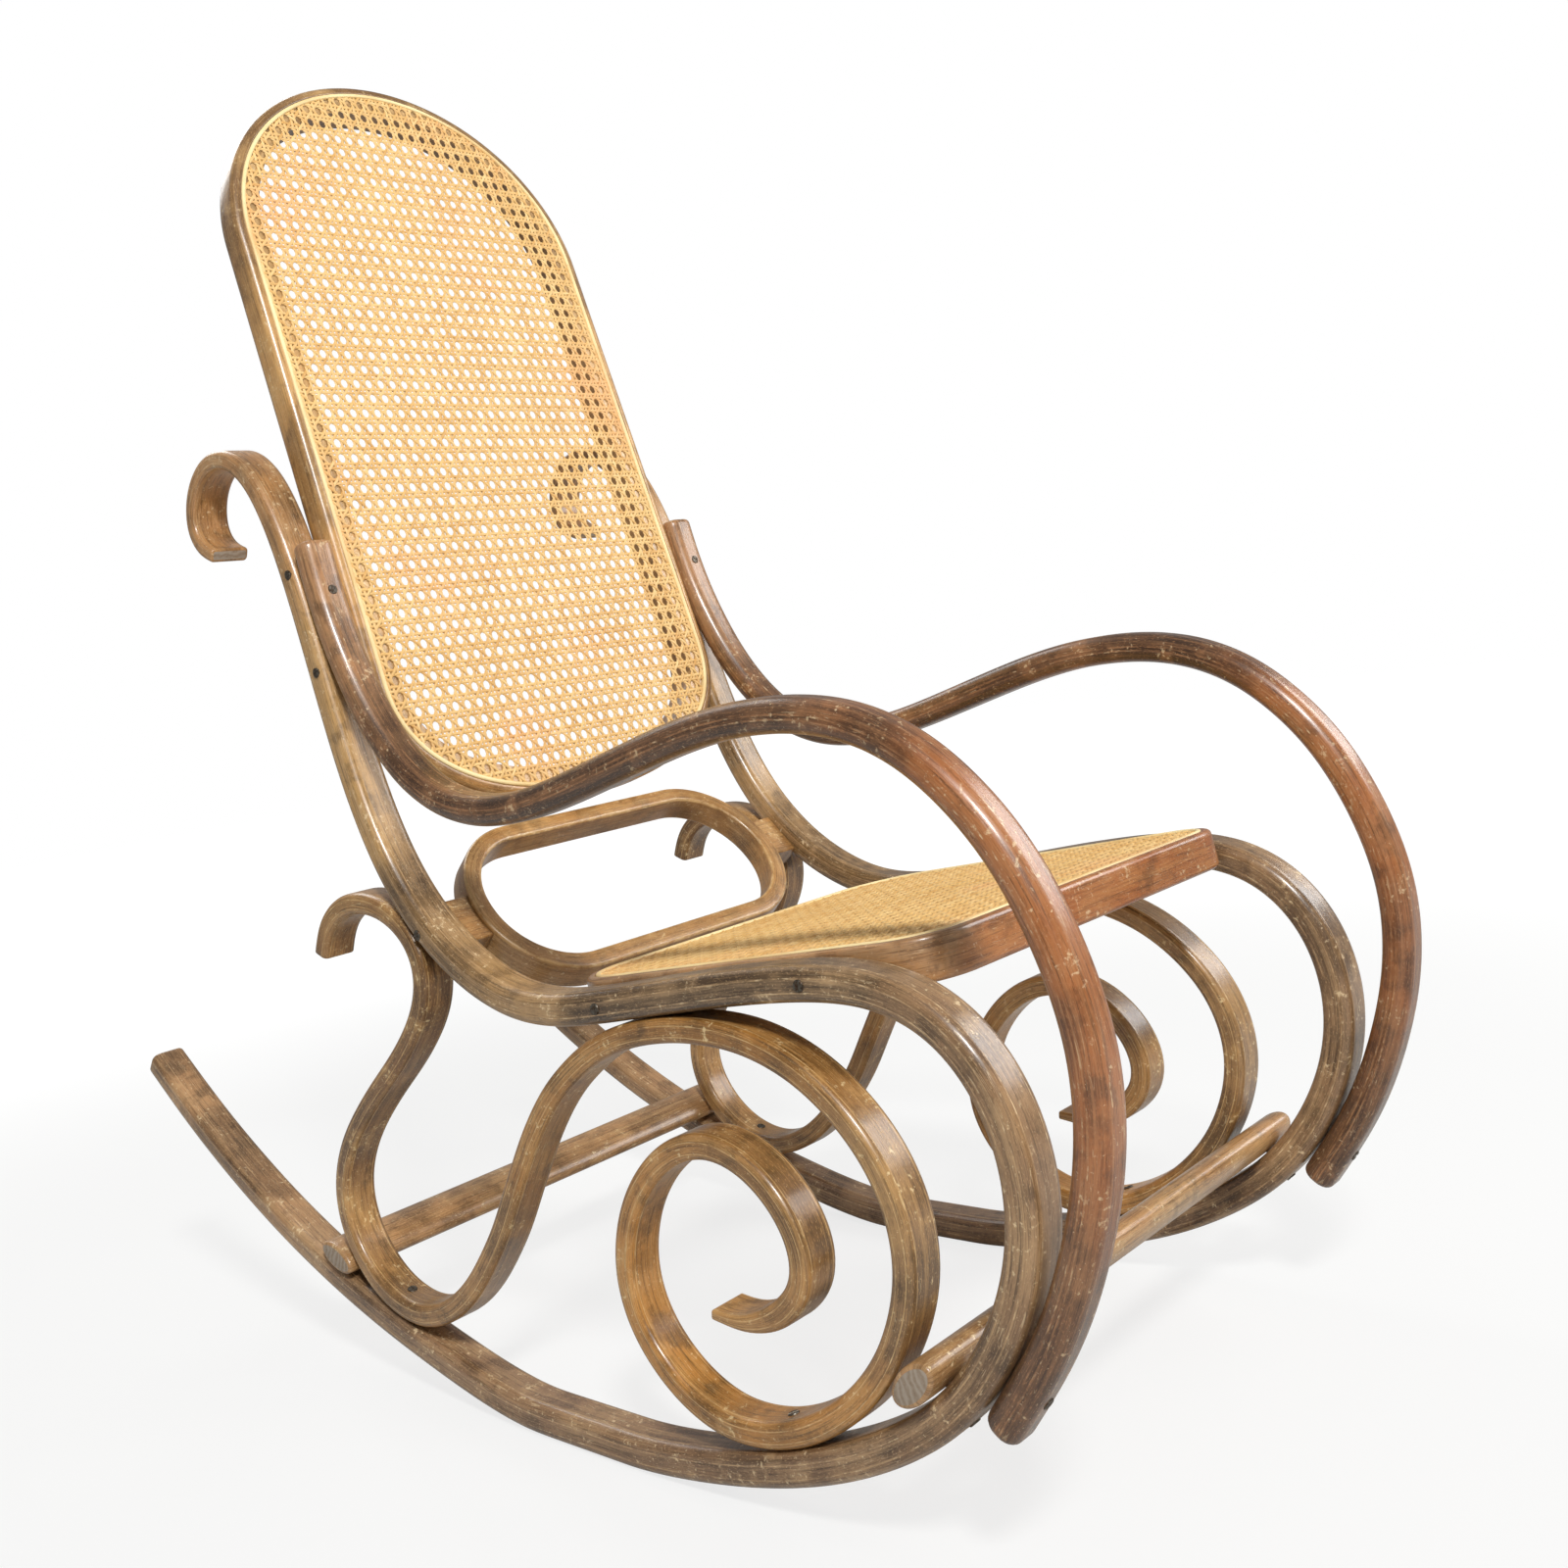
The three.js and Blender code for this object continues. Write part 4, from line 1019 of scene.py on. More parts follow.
@dataclass
class SideLines:
    """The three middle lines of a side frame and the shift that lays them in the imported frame."""

    runner_size: RodSize = RodSize(34 * MM, 24 * MM, 0.31, 2.5 * MM)
    arm_size: RodSize = RodSize(32 * MM, 24 * MM, 0.44, 5 * MM)
    scroll_size: RodSize = RodSize(32 * MM, 18 * MM, 0.28)
    runner: BentPath = field(init=False)
    arm: BentPath = field(init=False)
    scroll: BentPath = field(init=False)
    shift: float = field(init=False, default=0.0)
    bend_end: float = field(init=False, default=0.0)

    def __post_init__(self) -> None:
        """Traces the lines, seats the arm and scroll on the runner, and measures the shift."""
        thickness = self.runner_size.thickness
        rest_y = (REST_DEPTH_SHARE - MIDDLE_SHARE) * CHAIR_DEPTH
        rest = [(rest_y + step * REST_LENGTH / 2, thickness / 2) for step in (2, 1, 0, -1, -2)]
        tail, front = side_places(RUNNER_TAIL_SHARES), side_places(RUNNER_FRONT_SHARES)
        self.runner = BentPath(np.vstack([tail, rest, front]))
        self.arm = BentPath(side_places(ARM_SHARES))
        self.scroll = BentPath(side_places(SCROLL_SHARES))
        self.bend_end = float(self.runner.nearest(side_places(FRONT_BEND_END_SHARES))[1][0])
        above, below = (self.bend_end, math.inf), (0.0, self.bend_end)
        half = thickness / 2 + ROD_SEAT_GAP
        self.arm.seat_against(self.runner, half + self.arm_size.thickness / 2, [
            (side_places(ARM_TOP_SHARES), *above),
            (side_places(ARM_FOOT_SHARES), *below),
        ])
        self.scroll.seat_against(self.runner, half + self.scroll_size.thickness / 2, [
            (side_places(SCROLL_POST_SHARES), *above),
            (side_places(SCROLL_RAIL_SHARES), *above),
            (side_places(SCROLL_REAR_SHARES), *below),
            (side_places(SCROLL_FRONT_SHARES), *below),
        ])
        half_end = abs(self.runner.normal(0.0)[0, 0]) * thickness / 2
        self.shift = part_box("runner_left")[1][1] - self.runner.sample(0.0)[0, 0] - half_end
        log.info("side lines: shift %.3f mm", self.shift / MM)

    def inner_half(self) -> float:
        """From the chair's middle plane to the inner face of a runner, less the clearance."""
        return SIDE_SPACING / 2 - self.runner_size.width / 2 - FIT_GAP

    def rail_place(self, shares: Pair) -> Array:
        """The point (y, z) of the runner, past its front bend, that is nearest to some shares."""
        run = self.runner.nearest(side_places(shares), self.bend_end)[1]
        return self.runner.sample(run)[0]

    def plane(self, middle: Array, lean: float) -> FlatFrame:
        """The plane with a lean whose middle is a place (y, z) of the side plane."""
        return FlatFrame(middle[0] + self.shift, middle[1], lean)


@dataclass
class SideFrame:
    """One side of the chair: the runner with rocker, rail and post, the arm and the scroll."""

    side: Side
    lines: SideLines
    finishes: Finishes
    end_grain: Material
    post_curl: Curl = Curl(38 * MM, 13 * MM, 0.86)
    scroll_tip: Curl = Curl(32 * MM, 7 * MM, 0.965)

    def build(self) -> None:
        """Makes the three rods."""
        side_x, side, lines = self.side.value * SIDE_SPACING / 2, self.side.label(), self.lines
        rods = (
            ("runner", lines.runner, lines.runner_size, self.post_curl, Slot.ROCKER),
            ("arm", lines.arm, lines.arm_size, None, Slot.ARM),
            ("scroll", lines.scroll, lines.scroll_size, self.scroll_tip, Slot.SCROLL),
        )
        for name, path, size, curl, slot in rods:
            surface = swept_rod(path, side_x, size, lines.shift, curl)
            materials = [self.finishes[slot], self.end_grain]
            piece = mesh_piece(f"bent_{name}_{side}", [surface], materials)
            finish_piece(piece, slot, f"{name}_{side}")


def even_outline(outline: Array, step: float = OUTLINE_STEP) -> Array:
    """A closed outline with its points set evenly along it.

    Args:
        outline: (x, y) rows, anticlockwise, not closed.
        step: About how far apart the new points are.

    Returns:
        The new outline.
    """
    closed, runs = np.vstack([outline, outline[:1]]), around(outline)
    wanted = np.linspace(0, runs[-1], int(runs[-1] / step), endpoint=False)
    return np.stack([np.interp(wanted, runs, closed[:, i]) for i in range(2)], axis=1)


def inward(outline: Array) -> Array:
    """Unit directions into an anticlockwise outline, from each point's two neighbours.

    Args:
        outline: (x, y) rows.

    Returns:
        One direction for each point.
    """
    way = unit(np.roll(outline, -1, axis=0) - np.roll(outline, 1, axis=0))
    return np.stack([-way[:, 1], way[:, 0]], axis=1)


def banded(outline: Array, section: Array, plane: FlatFrame) -> Surface:
    """A closed section carried round an outline.

    A point is the outline's point plus the way in times the section's first coordinate, and
    stands out of the plane by its second.

    Args:
        outline: (x, y) rows in the plane, anticlockwise.
        section: (inset, out) rows, a closed section.
        plane: The plane that holds the outline.

    Returns:
        The surface.
    """
    flat = outline[:, None] + inward(outline)[:, None] * section[None, :, :1]
    points = plane.place(flat[..., 0], flat[..., 1], section[:, 1])
    marks = {"edge": rubbed_edge(section)}
    return Surface(points, around(outline)[:-1], around(section), marks, ring=True)


def arc(
    centre: Pair, radius: float, start: float, end: float, steps: int,
) -> list[Pair]:
    """Points on an arc, angles in degrees."""
    angles = np.radians(np.linspace(start, end, steps + 1))
    return [(centre[0] + radius * math.cos(a), centre[1] + radius * math.sin(a)) for a in angles]


def rounded_rectangle(
    half: float, low: float, high: float, low_corner: float, high_corner: float,
) -> Array:
    """A rectangle with rounded corners, anticlockwise.

    Args:
        half: Half its width.
        low: Its lower end.
        high: Its upper end.
        low_corner: Radius of the lower corners.
        high_corner: Radius of the upper corners.

    Returns:
        (x, y) rows.
    """
    corners = (
        (1, high - high_corner, high_corner), (-1, high - high_corner, high_corner),
        (-1, low + low_corner, low_corner), (1, low + low_corner, low_corner),
    )
    outline = []
    for turn, (side, y, radius) in enumerate(corners):
        middle, start = (side * (half - radius), y), 90 * turn
        outline += arc(middle, radius, start, start + 90, CORNER_STEPS)
    return np.array(outline)


@dataclass(frozen=True)
class FrameMember:
    """The section of a wooden frame that carries cane in a rebate behind a reed spline."""

    rim: float
    under_cane: float
    deep: float
    rounding: float
    back_rounding: float
    groove_width: float = 4.6 * MM
    groove_depth: float = 4.5 * MM
    cane_seat: float = 2.5 * MM
    lip: float = 0.8 * MM
    reed_width: float = 4.0 * MM
    reed_crown: float = 1.5 * MM
    reed_sink: float = 0.6 * MM

    def section(self) -> Array:
        """(inset, out) rows: rounded outside edges, a rebate for cane and spline, a plain back.

        Returns:
            The closed section.
        """
        inner, groove = self.rim + self.under_cane, self.rim + self.groove_width
        r, b, lip = self.rounding, self.back_rounding, self.lip
        return np.array(
            arc((r, -r), r, 180, 90, 6) + arc((self.rim - lip, -lip), lip, 90, 0, 2)
            + [(self.rim, -self.groove_depth), (groove, -self.groove_depth)]
            + [(groove, -self.cane_seat), (inner, -self.cane_seat)]
            + arc((inner - lip, -self.deep + lip), lip, 0, -90, 2)
            + arc((b, -self.deep + b), b, 270, 180, 6)
        )

    def spline_section(self) -> Array:
        """A half-round reed that fills the groove, its crown a little proud of the rim.

        Returns:
            (inset, out) rows of the closed section.
        """
        middle, half = self.rim + self.groove_width / 2, self.reed_width / 2
        top = [
            (middle - half * math.cos(a), self.reed_crown * math.sin(a) - self.reed_sink)
            for a in np.linspace(0, math.pi, 9)
        ]
        floor = -self.groove_depth + FIT_GAP
        return np.array(top + [(middle + half, floor), (middle - half, floor)])


class Strand(Enum):
    """The four ways that strands of the six-way pattern run."""

    UPRIGHTS = "uprights"
    ROWS = "rows"
    RISING = "rising_diagonals"
    FALLING = "falling_diagonals"

    def paired(self) -> bool:
        """True for the ways whose strands run in pairs."""
        return self in (Strand.UPRIGHTS, Strand.ROWS)


@dataclass(frozen=True)
class CaneWeave:
    """Six-way caning: pairs of uprights and rows, and two ways of diagonals between them.

    Rows and uprights are woven over and under each other in pairs. A rising diagonal lies over
    the rows and under the uprights, a falling one the other way round, and both cross halfway
    between the crossings of the pairs, which leaves rounded upright holes.

    Attributes:
        across: Spacing of the pairs of uprights.
        up: Spacing of the pairs of rows.
        upright_gap: Between the middles of two paired uprights.
        row_gap: Between the middles of two paired rows.
        width: Width of a strand.
        thickness: Thickness of a strand.
        level: Middle of the weave below the front of the frame.
        seed: Seed of the strands' tones.
        pair_wave: How high uprights and rows wave, in thicknesses.
        diagonal_wave: How high diagonals wave, in thicknesses.
        shoulder: Half the flat top of a strand, in widths.
        shortest: Shortest strand that is kept, in widths.
        pair_steps: Sections in a period of an upright or a row.
        diagonal_steps: Sections in a period of a diagonal.
        run_spread: How far the strands' patterns are shifted along them, in metres.
        sharp: Angle in degrees past which an edge is drawn sharp.
    """

    across: float
    up: float
    upright_gap: float
    row_gap: float
    width: float = 2.75 * MM
    thickness: float = 0.7 * MM
    level: float = -1.3 * MM
    seed: int = 3
    pair_wave: float = 0.75
    diagonal_wave: float = 1.35
    shoulder: float = 0.32
    shortest: float = 4.0
    pair_steps: int = 4
    diagonal_steps: int = 6
    run_spread: float = 3.0
    sharp: float = 75.0

    def lines(self, strand: Strand, reach: float) -> tuple[Array, Array, Array, float, float]:
        """The straight lines of one way of strands.

        Args:
            strand: Which way.
            reach: How far the panel goes from the middle.

        Returns:
            A point on each line, the unit direction, each line's sign of wave, the wave's
            period and its height.
        """
        if strand.paired():
            upright = strand is Strand.UPRIGHTS
            uprights, rows = (self.across, self.upright_gap, 0), (self.up, self.row_gap, 1)
            pitch, gap, axis = uprights if upright else rows
            count = int(reach / pitch) + 1
            middles = np.arange(-count, count + 1)[:, None] * pitch
            offsets = (middles + np.array([-gap / 2, gap / 2])).ravel()
            starts = np.zeros((len(offsets), 2))
            starts[:, axis] = offsets
            way = np.array([0.0, 1.0] if upright else [1.0, 0.0])
            signs = np.tile([1.0, -1.0] if upright else [-1.0, 1.0], len(middles))
            period = self.up if upright else self.across
            return starts, way, signs, period, self.pair_wave * self.thickness
        slope = 1.0 if strand is Strand.RISING else -1.0
        way = np.array([self.across, slope * self.up])
        half = float(np.linalg.norm(way)) / 2
        count = int(2 * reach / self.across) + 2
        starts = np.zeros((2 * count + 1, 2))
        starts[:, 0] = (np.arange(-count, count + 1) + 0.5) * self.across
        signs = np.full(len(starts), slope)
        height = self.diagonal_wave * self.thickness
        return starts, unit(way), signs, 2 * half, height

    def piece(
        self, name: str, strand: Strand, outline: Array, plane: FlatFrame, material: Material,
    ) -> Object:
        """Strands of one way, cut off at a convex outline.

        Along a strand the height is the wave's height times sin(2 pi s / period) for rows and
        uprights, and times cos(2 pi s / period) for diagonals, where s is measured from a
        crossing of the pairs or from the middle of a bar. The section is a low trapezoid, flat
        on top with bevelled sides.

        Args:
            name: Name of the object.
            strand: Which way.
            outline: (x, y) rows, anticlockwise and convex.
            plane: The plane of the panel.
            material: The strands' material.

        Returns:
            The object, not yet linked.
        """
        starts, way, signs, period, height = self.lines(strand, float(np.abs(outline).max()))
        along = np.roll(outline, -1, axis=0) - outline
        into = np.stack([-along[:, 1], along[:, 0]], axis=1)
        gain = into @ way
        room = np.einsum("nmk,mk->nm", starts[:, None] - outline[None], into)
        with np.errstate(divide="ignore", invalid="ignore"):
            meets = -room / gain
        low = np.where(gain > 1e-12, meets, -np.inf).max(axis=1)
        high = np.where(gain < -1e-12, meets, np.inf).min(axis=1)
        kept = high - low > self.shortest * self.width
        starts, signs, low, high = starts[kept], signs[kept], low[kept], high[kept]
        step = period / (self.pair_steps if strand.paired() else self.diagonal_steps)
        grid = np.arange(math.floor(low.min() / step) - 1, math.ceil(high.max() / step) + 2) * step
        s = np.clip(grid[None], low[:, None], high[:, None])
        turn = 2 * math.pi * s / period
        wave = np.sin(turn) if strand.paired() else np.cos(turn)
        lift = self.level + signs[:, None] * height * wave
        middle = starts[:, None] + s[..., None] * way
        beside = np.array([-way[1], way[0]])
        corners = ((-0.5, -0.5), (-self.shoulder, 0.5), (self.shoulder, 0.5), (0.5, -0.5))
        profile = np.array(corners) * (self.width, self.thickness)
        flat = middle[:, :, None] + profile[None, None, :, :1] * beside
        points = plane.place(flat[..., 0], flat[..., 1], lift[:, :, None] + profile[:, 1])
        real = s[:, 1:] - s[:, :-1] > 1e-7
        first, last = real.argmax(axis=1), s.shape[1] - real[:, ::-1].argmax(axis=1)
        random = np.random.default_rng(self.seed + len(strand.value))
        tones, shifts = random.random(len(s)), random.random(len(s)) * self.run_spread
        girth = np.array([0, 1, 2, 3, 0]) * self.width / 2
        surfaces = []
        for n, (tone, shift) in enumerate(zip(tones, shifts)):
            whole = slice(first[n], last[n])
            marks = {"tone": np.full(len(profile), tone)}
            surfaces.append(Surface(points[n, whole], s[n, whole] + shift, girth, marks))
        return mesh_piece(name, surfaces, [material], self.sharp)


@dataclass
class CanedPanel:
    """A wooden frame with its cane and its reed spline."""

    name: str
    frame_node: str
    frame_slot: Slot
    outline: Array
    plane: FlatFrame
    member: FrameMember
    weave: CaneWeave
    finishes: Finishes

    def build(self) -> None:
        """Makes the frame, the spline and the four ways of cane strands."""
        bands = (
            ("frame_wood", self.member.section(), self.frame_slot, self.frame_node),
            ("reed_spline", self.member.spline_section(), Slot.SPLINE, f"{self.name}_spline"),
        )
        for part, section, slot, node in bands:
            surface = banded(self.outline, section, self.plane)
            piece = mesh_piece(f"{self.name}_{part}", [surface], [self.finishes[slot]])
            finish_piece(piece, slot, node)
        inset = self.member.rim + self.member.groove_width / 2
        edge = self.outline + inward(self.outline) * inset
        for strand in Strand:
            name = f"{self.name}_cane_{strand.value}"
            piece = self.weave.piece(name, strand, edge, self.plane, self.finishes[Slot.CANE])
            finish_piece(piece, Slot.CANE, f"{self.name}_cane")


@dataclass
class Back:
    """The hoop with its caned panel; member_sizes are FrameMember's sizes after its rim."""

    lines: SideLines
    finishes: Finishes
    place_shares: Pair = (0.6327, 0.5575)
    lean: float = math.radians(15.1)
    cane_half: float = 196 * MM
    top_rise: float = 534.99 * MM
    top_crown: float = 180 * MM
    bottom_drop: float = 203.04 * MM
    bottom_crown: float = 120 * MM
    top_power: float = 2.0
    bottom_power: float = 2.3
    crown_points: int = 721
    member_sizes: tuple[float, ...] = (19 * MM, 34 * MM, 7 * MM, 12 * MM)
    weave: CaneWeave = CaneWeave(13.4 * MM, 15.1 * MM, 4.3 * MM, 4.1 * MM)

    def outline(self) -> Array:
        """The hoop's outer outline.

        Above and below two level lines the cane's edge is |x / half|^p + |y / crown|^p = 1,
        with straight sides between; the hoop's outline lies outside it by the rim's width.

        Returns:
            (x, y) rows in the hoop's plane.
        """
        crowns = (
            (self.top_power, self.top_crown, self.top_rise - self.top_crown, 1.0),
            (self.bottom_power, self.bottom_crown, self.bottom_crown - self.bottom_drop, -1.0),
        )
        angle = np.linspace(0, math.pi, self.crown_points)
        cosine, sine = np.cos(angle), np.abs(np.sin(angle))
        halves = []
        for power, crown, level, sign in crowns:
            x = sign * np.sign(cosine) * self.cane_half * np.abs(cosine) ** (2 / power)
            halves.append(np.stack([x, level + sign * crown * sine ** (2 / power)], axis=1))
        cane = even_outline(np.vstack(halves))
        return even_outline(cane - inward(cane) * self.rim())

    def rim(self) -> float:
        """Width of the hoop's front rim, from the cane's edge to the inner faces of the posts."""
        return self.lines.inner_half() - self.cane_half

    def build(self) -> None:
        """Makes the hoop, its cane and its spline."""
        plane = self.lines.plane(side_places(self.place_shares)[0], self.lean)
        member = FrameMember(self.rim(), *self.member_sizes)
        labels = ("back", "back_hoop", Slot.HOOP)
        CanedPanel(*labels, self.outline(), plane, member, self.weave, self.finishes).build()


@dataclass
class Seat:
    """The seat frame with its caned panel."""

    lines: SideLines
    finishes: Finishes
    tilt: float = math.radians(6.8)
    front_share: float = 0.112
    rear_share: float = 0.446
    over_rail: float = 13 * MM
    rail_shares: Pair = (0.2835, 0.29)
    front_corner: float = 46 * MM
    rear_corner: float = 70 * MM
    member: FrameMember = FrameMember(7 * MM, 36 * MM, 30 * MM, 4 * MM, 4 * MM)
    weave: CaneWeave = CaneWeave(13.4 * MM, 13.4 * MM, 3.9 * MM, 3.9 * MM, seed=11)

    def build(self) -> None:
        """Makes the seat frame, its cane and its spline."""
        up = np.array([math.sin(self.tilt), math.cos(self.tilt)])
        middle = self.lines.rail_place(self.rail_shares) + self.over_rail * up
        plane = self.lines.plane(middle, math.pi / 2 + self.tilt)
        half_depth = (self.rear_share - self.front_share) * CHAIR_DEPTH / 2 / math.cos(self.tilt)
        outline = even_outline(rounded_rectangle(
            self.lines.inner_half(), -half_depth, half_depth, self.front_corner, self.rear_corner,
        ))
        labels = ("seat", "seat_frame", Slot.SEAT)
        CanedPanel(*labels, outline, plane, self.member, self.weave, self.finishes).build()


@dataclass
class LowerRing:
    """The bent ring under the back, held at its ends by two blocks on the rails."""

    lines: SideLines
    finishes: Finishes
    rail_shares: Pair = (0.5525, 0.322)
    lean: float = math.radians(43)
    behind_rail: float = 9 * MM
    half_width: float = 180 * MM
    half_height: float = 82 * MM
    corner: float = 81 * MM
    band: float = 16.5 * MM
    deep: float = 27 * MM
    rounding: float = 3 * MM
    block_height: float = 44 * MM
    block_deep: float = 22 * MM
    block_recess: float = 4 * MM
    block_chamfer: float = 1 * MM
    block_step: float = 2 * MM

    def build(self) -> None:
        """Makes the ring and its two blocks."""
        back = np.array([math.cos(self.lean), -math.sin(self.lean)])
        middle = self.lines.rail_place(self.rail_shares) + self.behind_rail * back
        plane = self.lines.plane(middle, self.lean)
        outline = rounded_rectangle(
            self.half_width, -self.half_height, self.half_height, self.corner, self.corner,
        )
        half, r = self.deep / 2, self.rounding
        section = np.array(
            arc((r, half - r), r, 180, 90, 4) + arc((self.band - r, half - r), r, 90, 0, 4)
            + arc((self.band - r, -half + r), r, 0, -90, 4) + arc((r, -half + r), r, -90, -180, 4)
        )
        surface = banded(even_outline(outline), section, plane)
        pieces = [("lower_ring_wood", surface, "lower_back_ring")]
        for side in Side:
            label = side.label()
            block = self.block(side, plane)
            pieces.append((f"ring_block_wood_{label}", block, f"ring_block_{label}"))
        for name, surface, node in pieces:
            finish_piece(mesh_piece(name, [surface], [self.finishes[Slot.HOOP]]), Slot.HOOP, node)

    def block(self, side: Side, plane: FlatFrame) -> Surface:
        """A block between a rail and the ring's round end, sawn to the ring's curve.

        Its outline runs from the rail's face to an arc just outside the ring, and it stands
        through the ring's depth with its two faces drawn in by a small chamfer.

        Args:
            side: Which block.
            plane: The ring's plane.

        Returns:
            The surface.
        """
        half, chamfer, face = self.block_height / 2, self.block_chamfer, self.lines.inner_half()
        radius = self.corner + FIT_GAP
        reach = math.degrees(math.asin(half / radius))
        curve = arc((self.half_width - self.corner, 0.0), radius, reach, -reach, CORNER_STEPS // 2)
        outline = even_outline(np.array([(face, -half), (face, half), *curve]), self.block_step)
        low = self.deep / 2 - self.block_recess - self.block_deep
        levels = low + np.array([0.0, chamfer, self.block_deep - chamfer, self.block_deep])
        inset = np.array([chamfer, 0.0, 0.0, chamfer])
        flat = outline[None] + inward(outline)[None] * inset[:, None, None]
        points = plane.place(side.value * flat[..., 0], flat[..., 1], levels[:, None])
        return Surface(points, levels - low, around(outline))


@dataclass
class Stretchers:
    """The two oval rods between the rockers: long and short diameters, length, and place."""

    lines: SideLines
    finishes: Finishes
    end_grain: Material
    front: Triple = (40 * MM, 22 * MM, 500 * MM)
    rear: Triple = (44 * MM, 21 * MM, 484 * MM)
    front_shares: Pair = (0.127, 0.0875)
    rear_shares: Pair = (0.729, 0.0625)
    end_round: float = 3 * MM
    ring_step: float = 8 * MM
    sides: int = 40

    def build(self) -> None:
        """Makes both stretchers, each in its node's box and turned as the rocker lies there.

        A ring has the points (long / 2 - less) cos a along the rocker and
        (short / 2 - less) sin a out of it, with less = r (1 - sin b) near the ends.
        """
        turn = np.linspace(0, 2 * math.pi, self.sides, endpoint=False)
        both = (("front", self.front, self.front_shares), ("rear", self.rear, self.rear_shares))
        for end, (long, short, length), shares in both:
            name = f"{end}_stretcher"
            low, high = (np.array(corner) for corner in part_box(name))
            centre = (low + high) / 2
            runner = self.lines.runner
            run = runner.nearest(side_places(shares), 0.0, self.lines.bend_end)[1]
            tangent = runner.tangent(run)[0]
            runs, less = rounded_ends(length, self.end_round, self.ring_step)
            x = runs - length / 2
            along = (long / 2 - less)[:, None] * np.cos(turn)
            out = (short / 2 - less)[:, None] * np.sin(turn)
            y = centre[1] + tangent[0] * along - tangent[1] * out
            z = centre[2] + tangent[1] * along + tangent[0] * out
            points = np.stack([np.broadcast_to(x[:, None], y.shape), y, z], axis=-1)
            section = np.stack([along[len(x) // 2], out[len(x) // 2]], axis=1)
            surface = Surface(points, x, around(section))
            materials = [self.finishes[Slot.STRETCHER], self.end_grain]
            finish_piece(mesh_piece(f"{name}_rod", [surface], materials), Slot.STRETCHER, name)


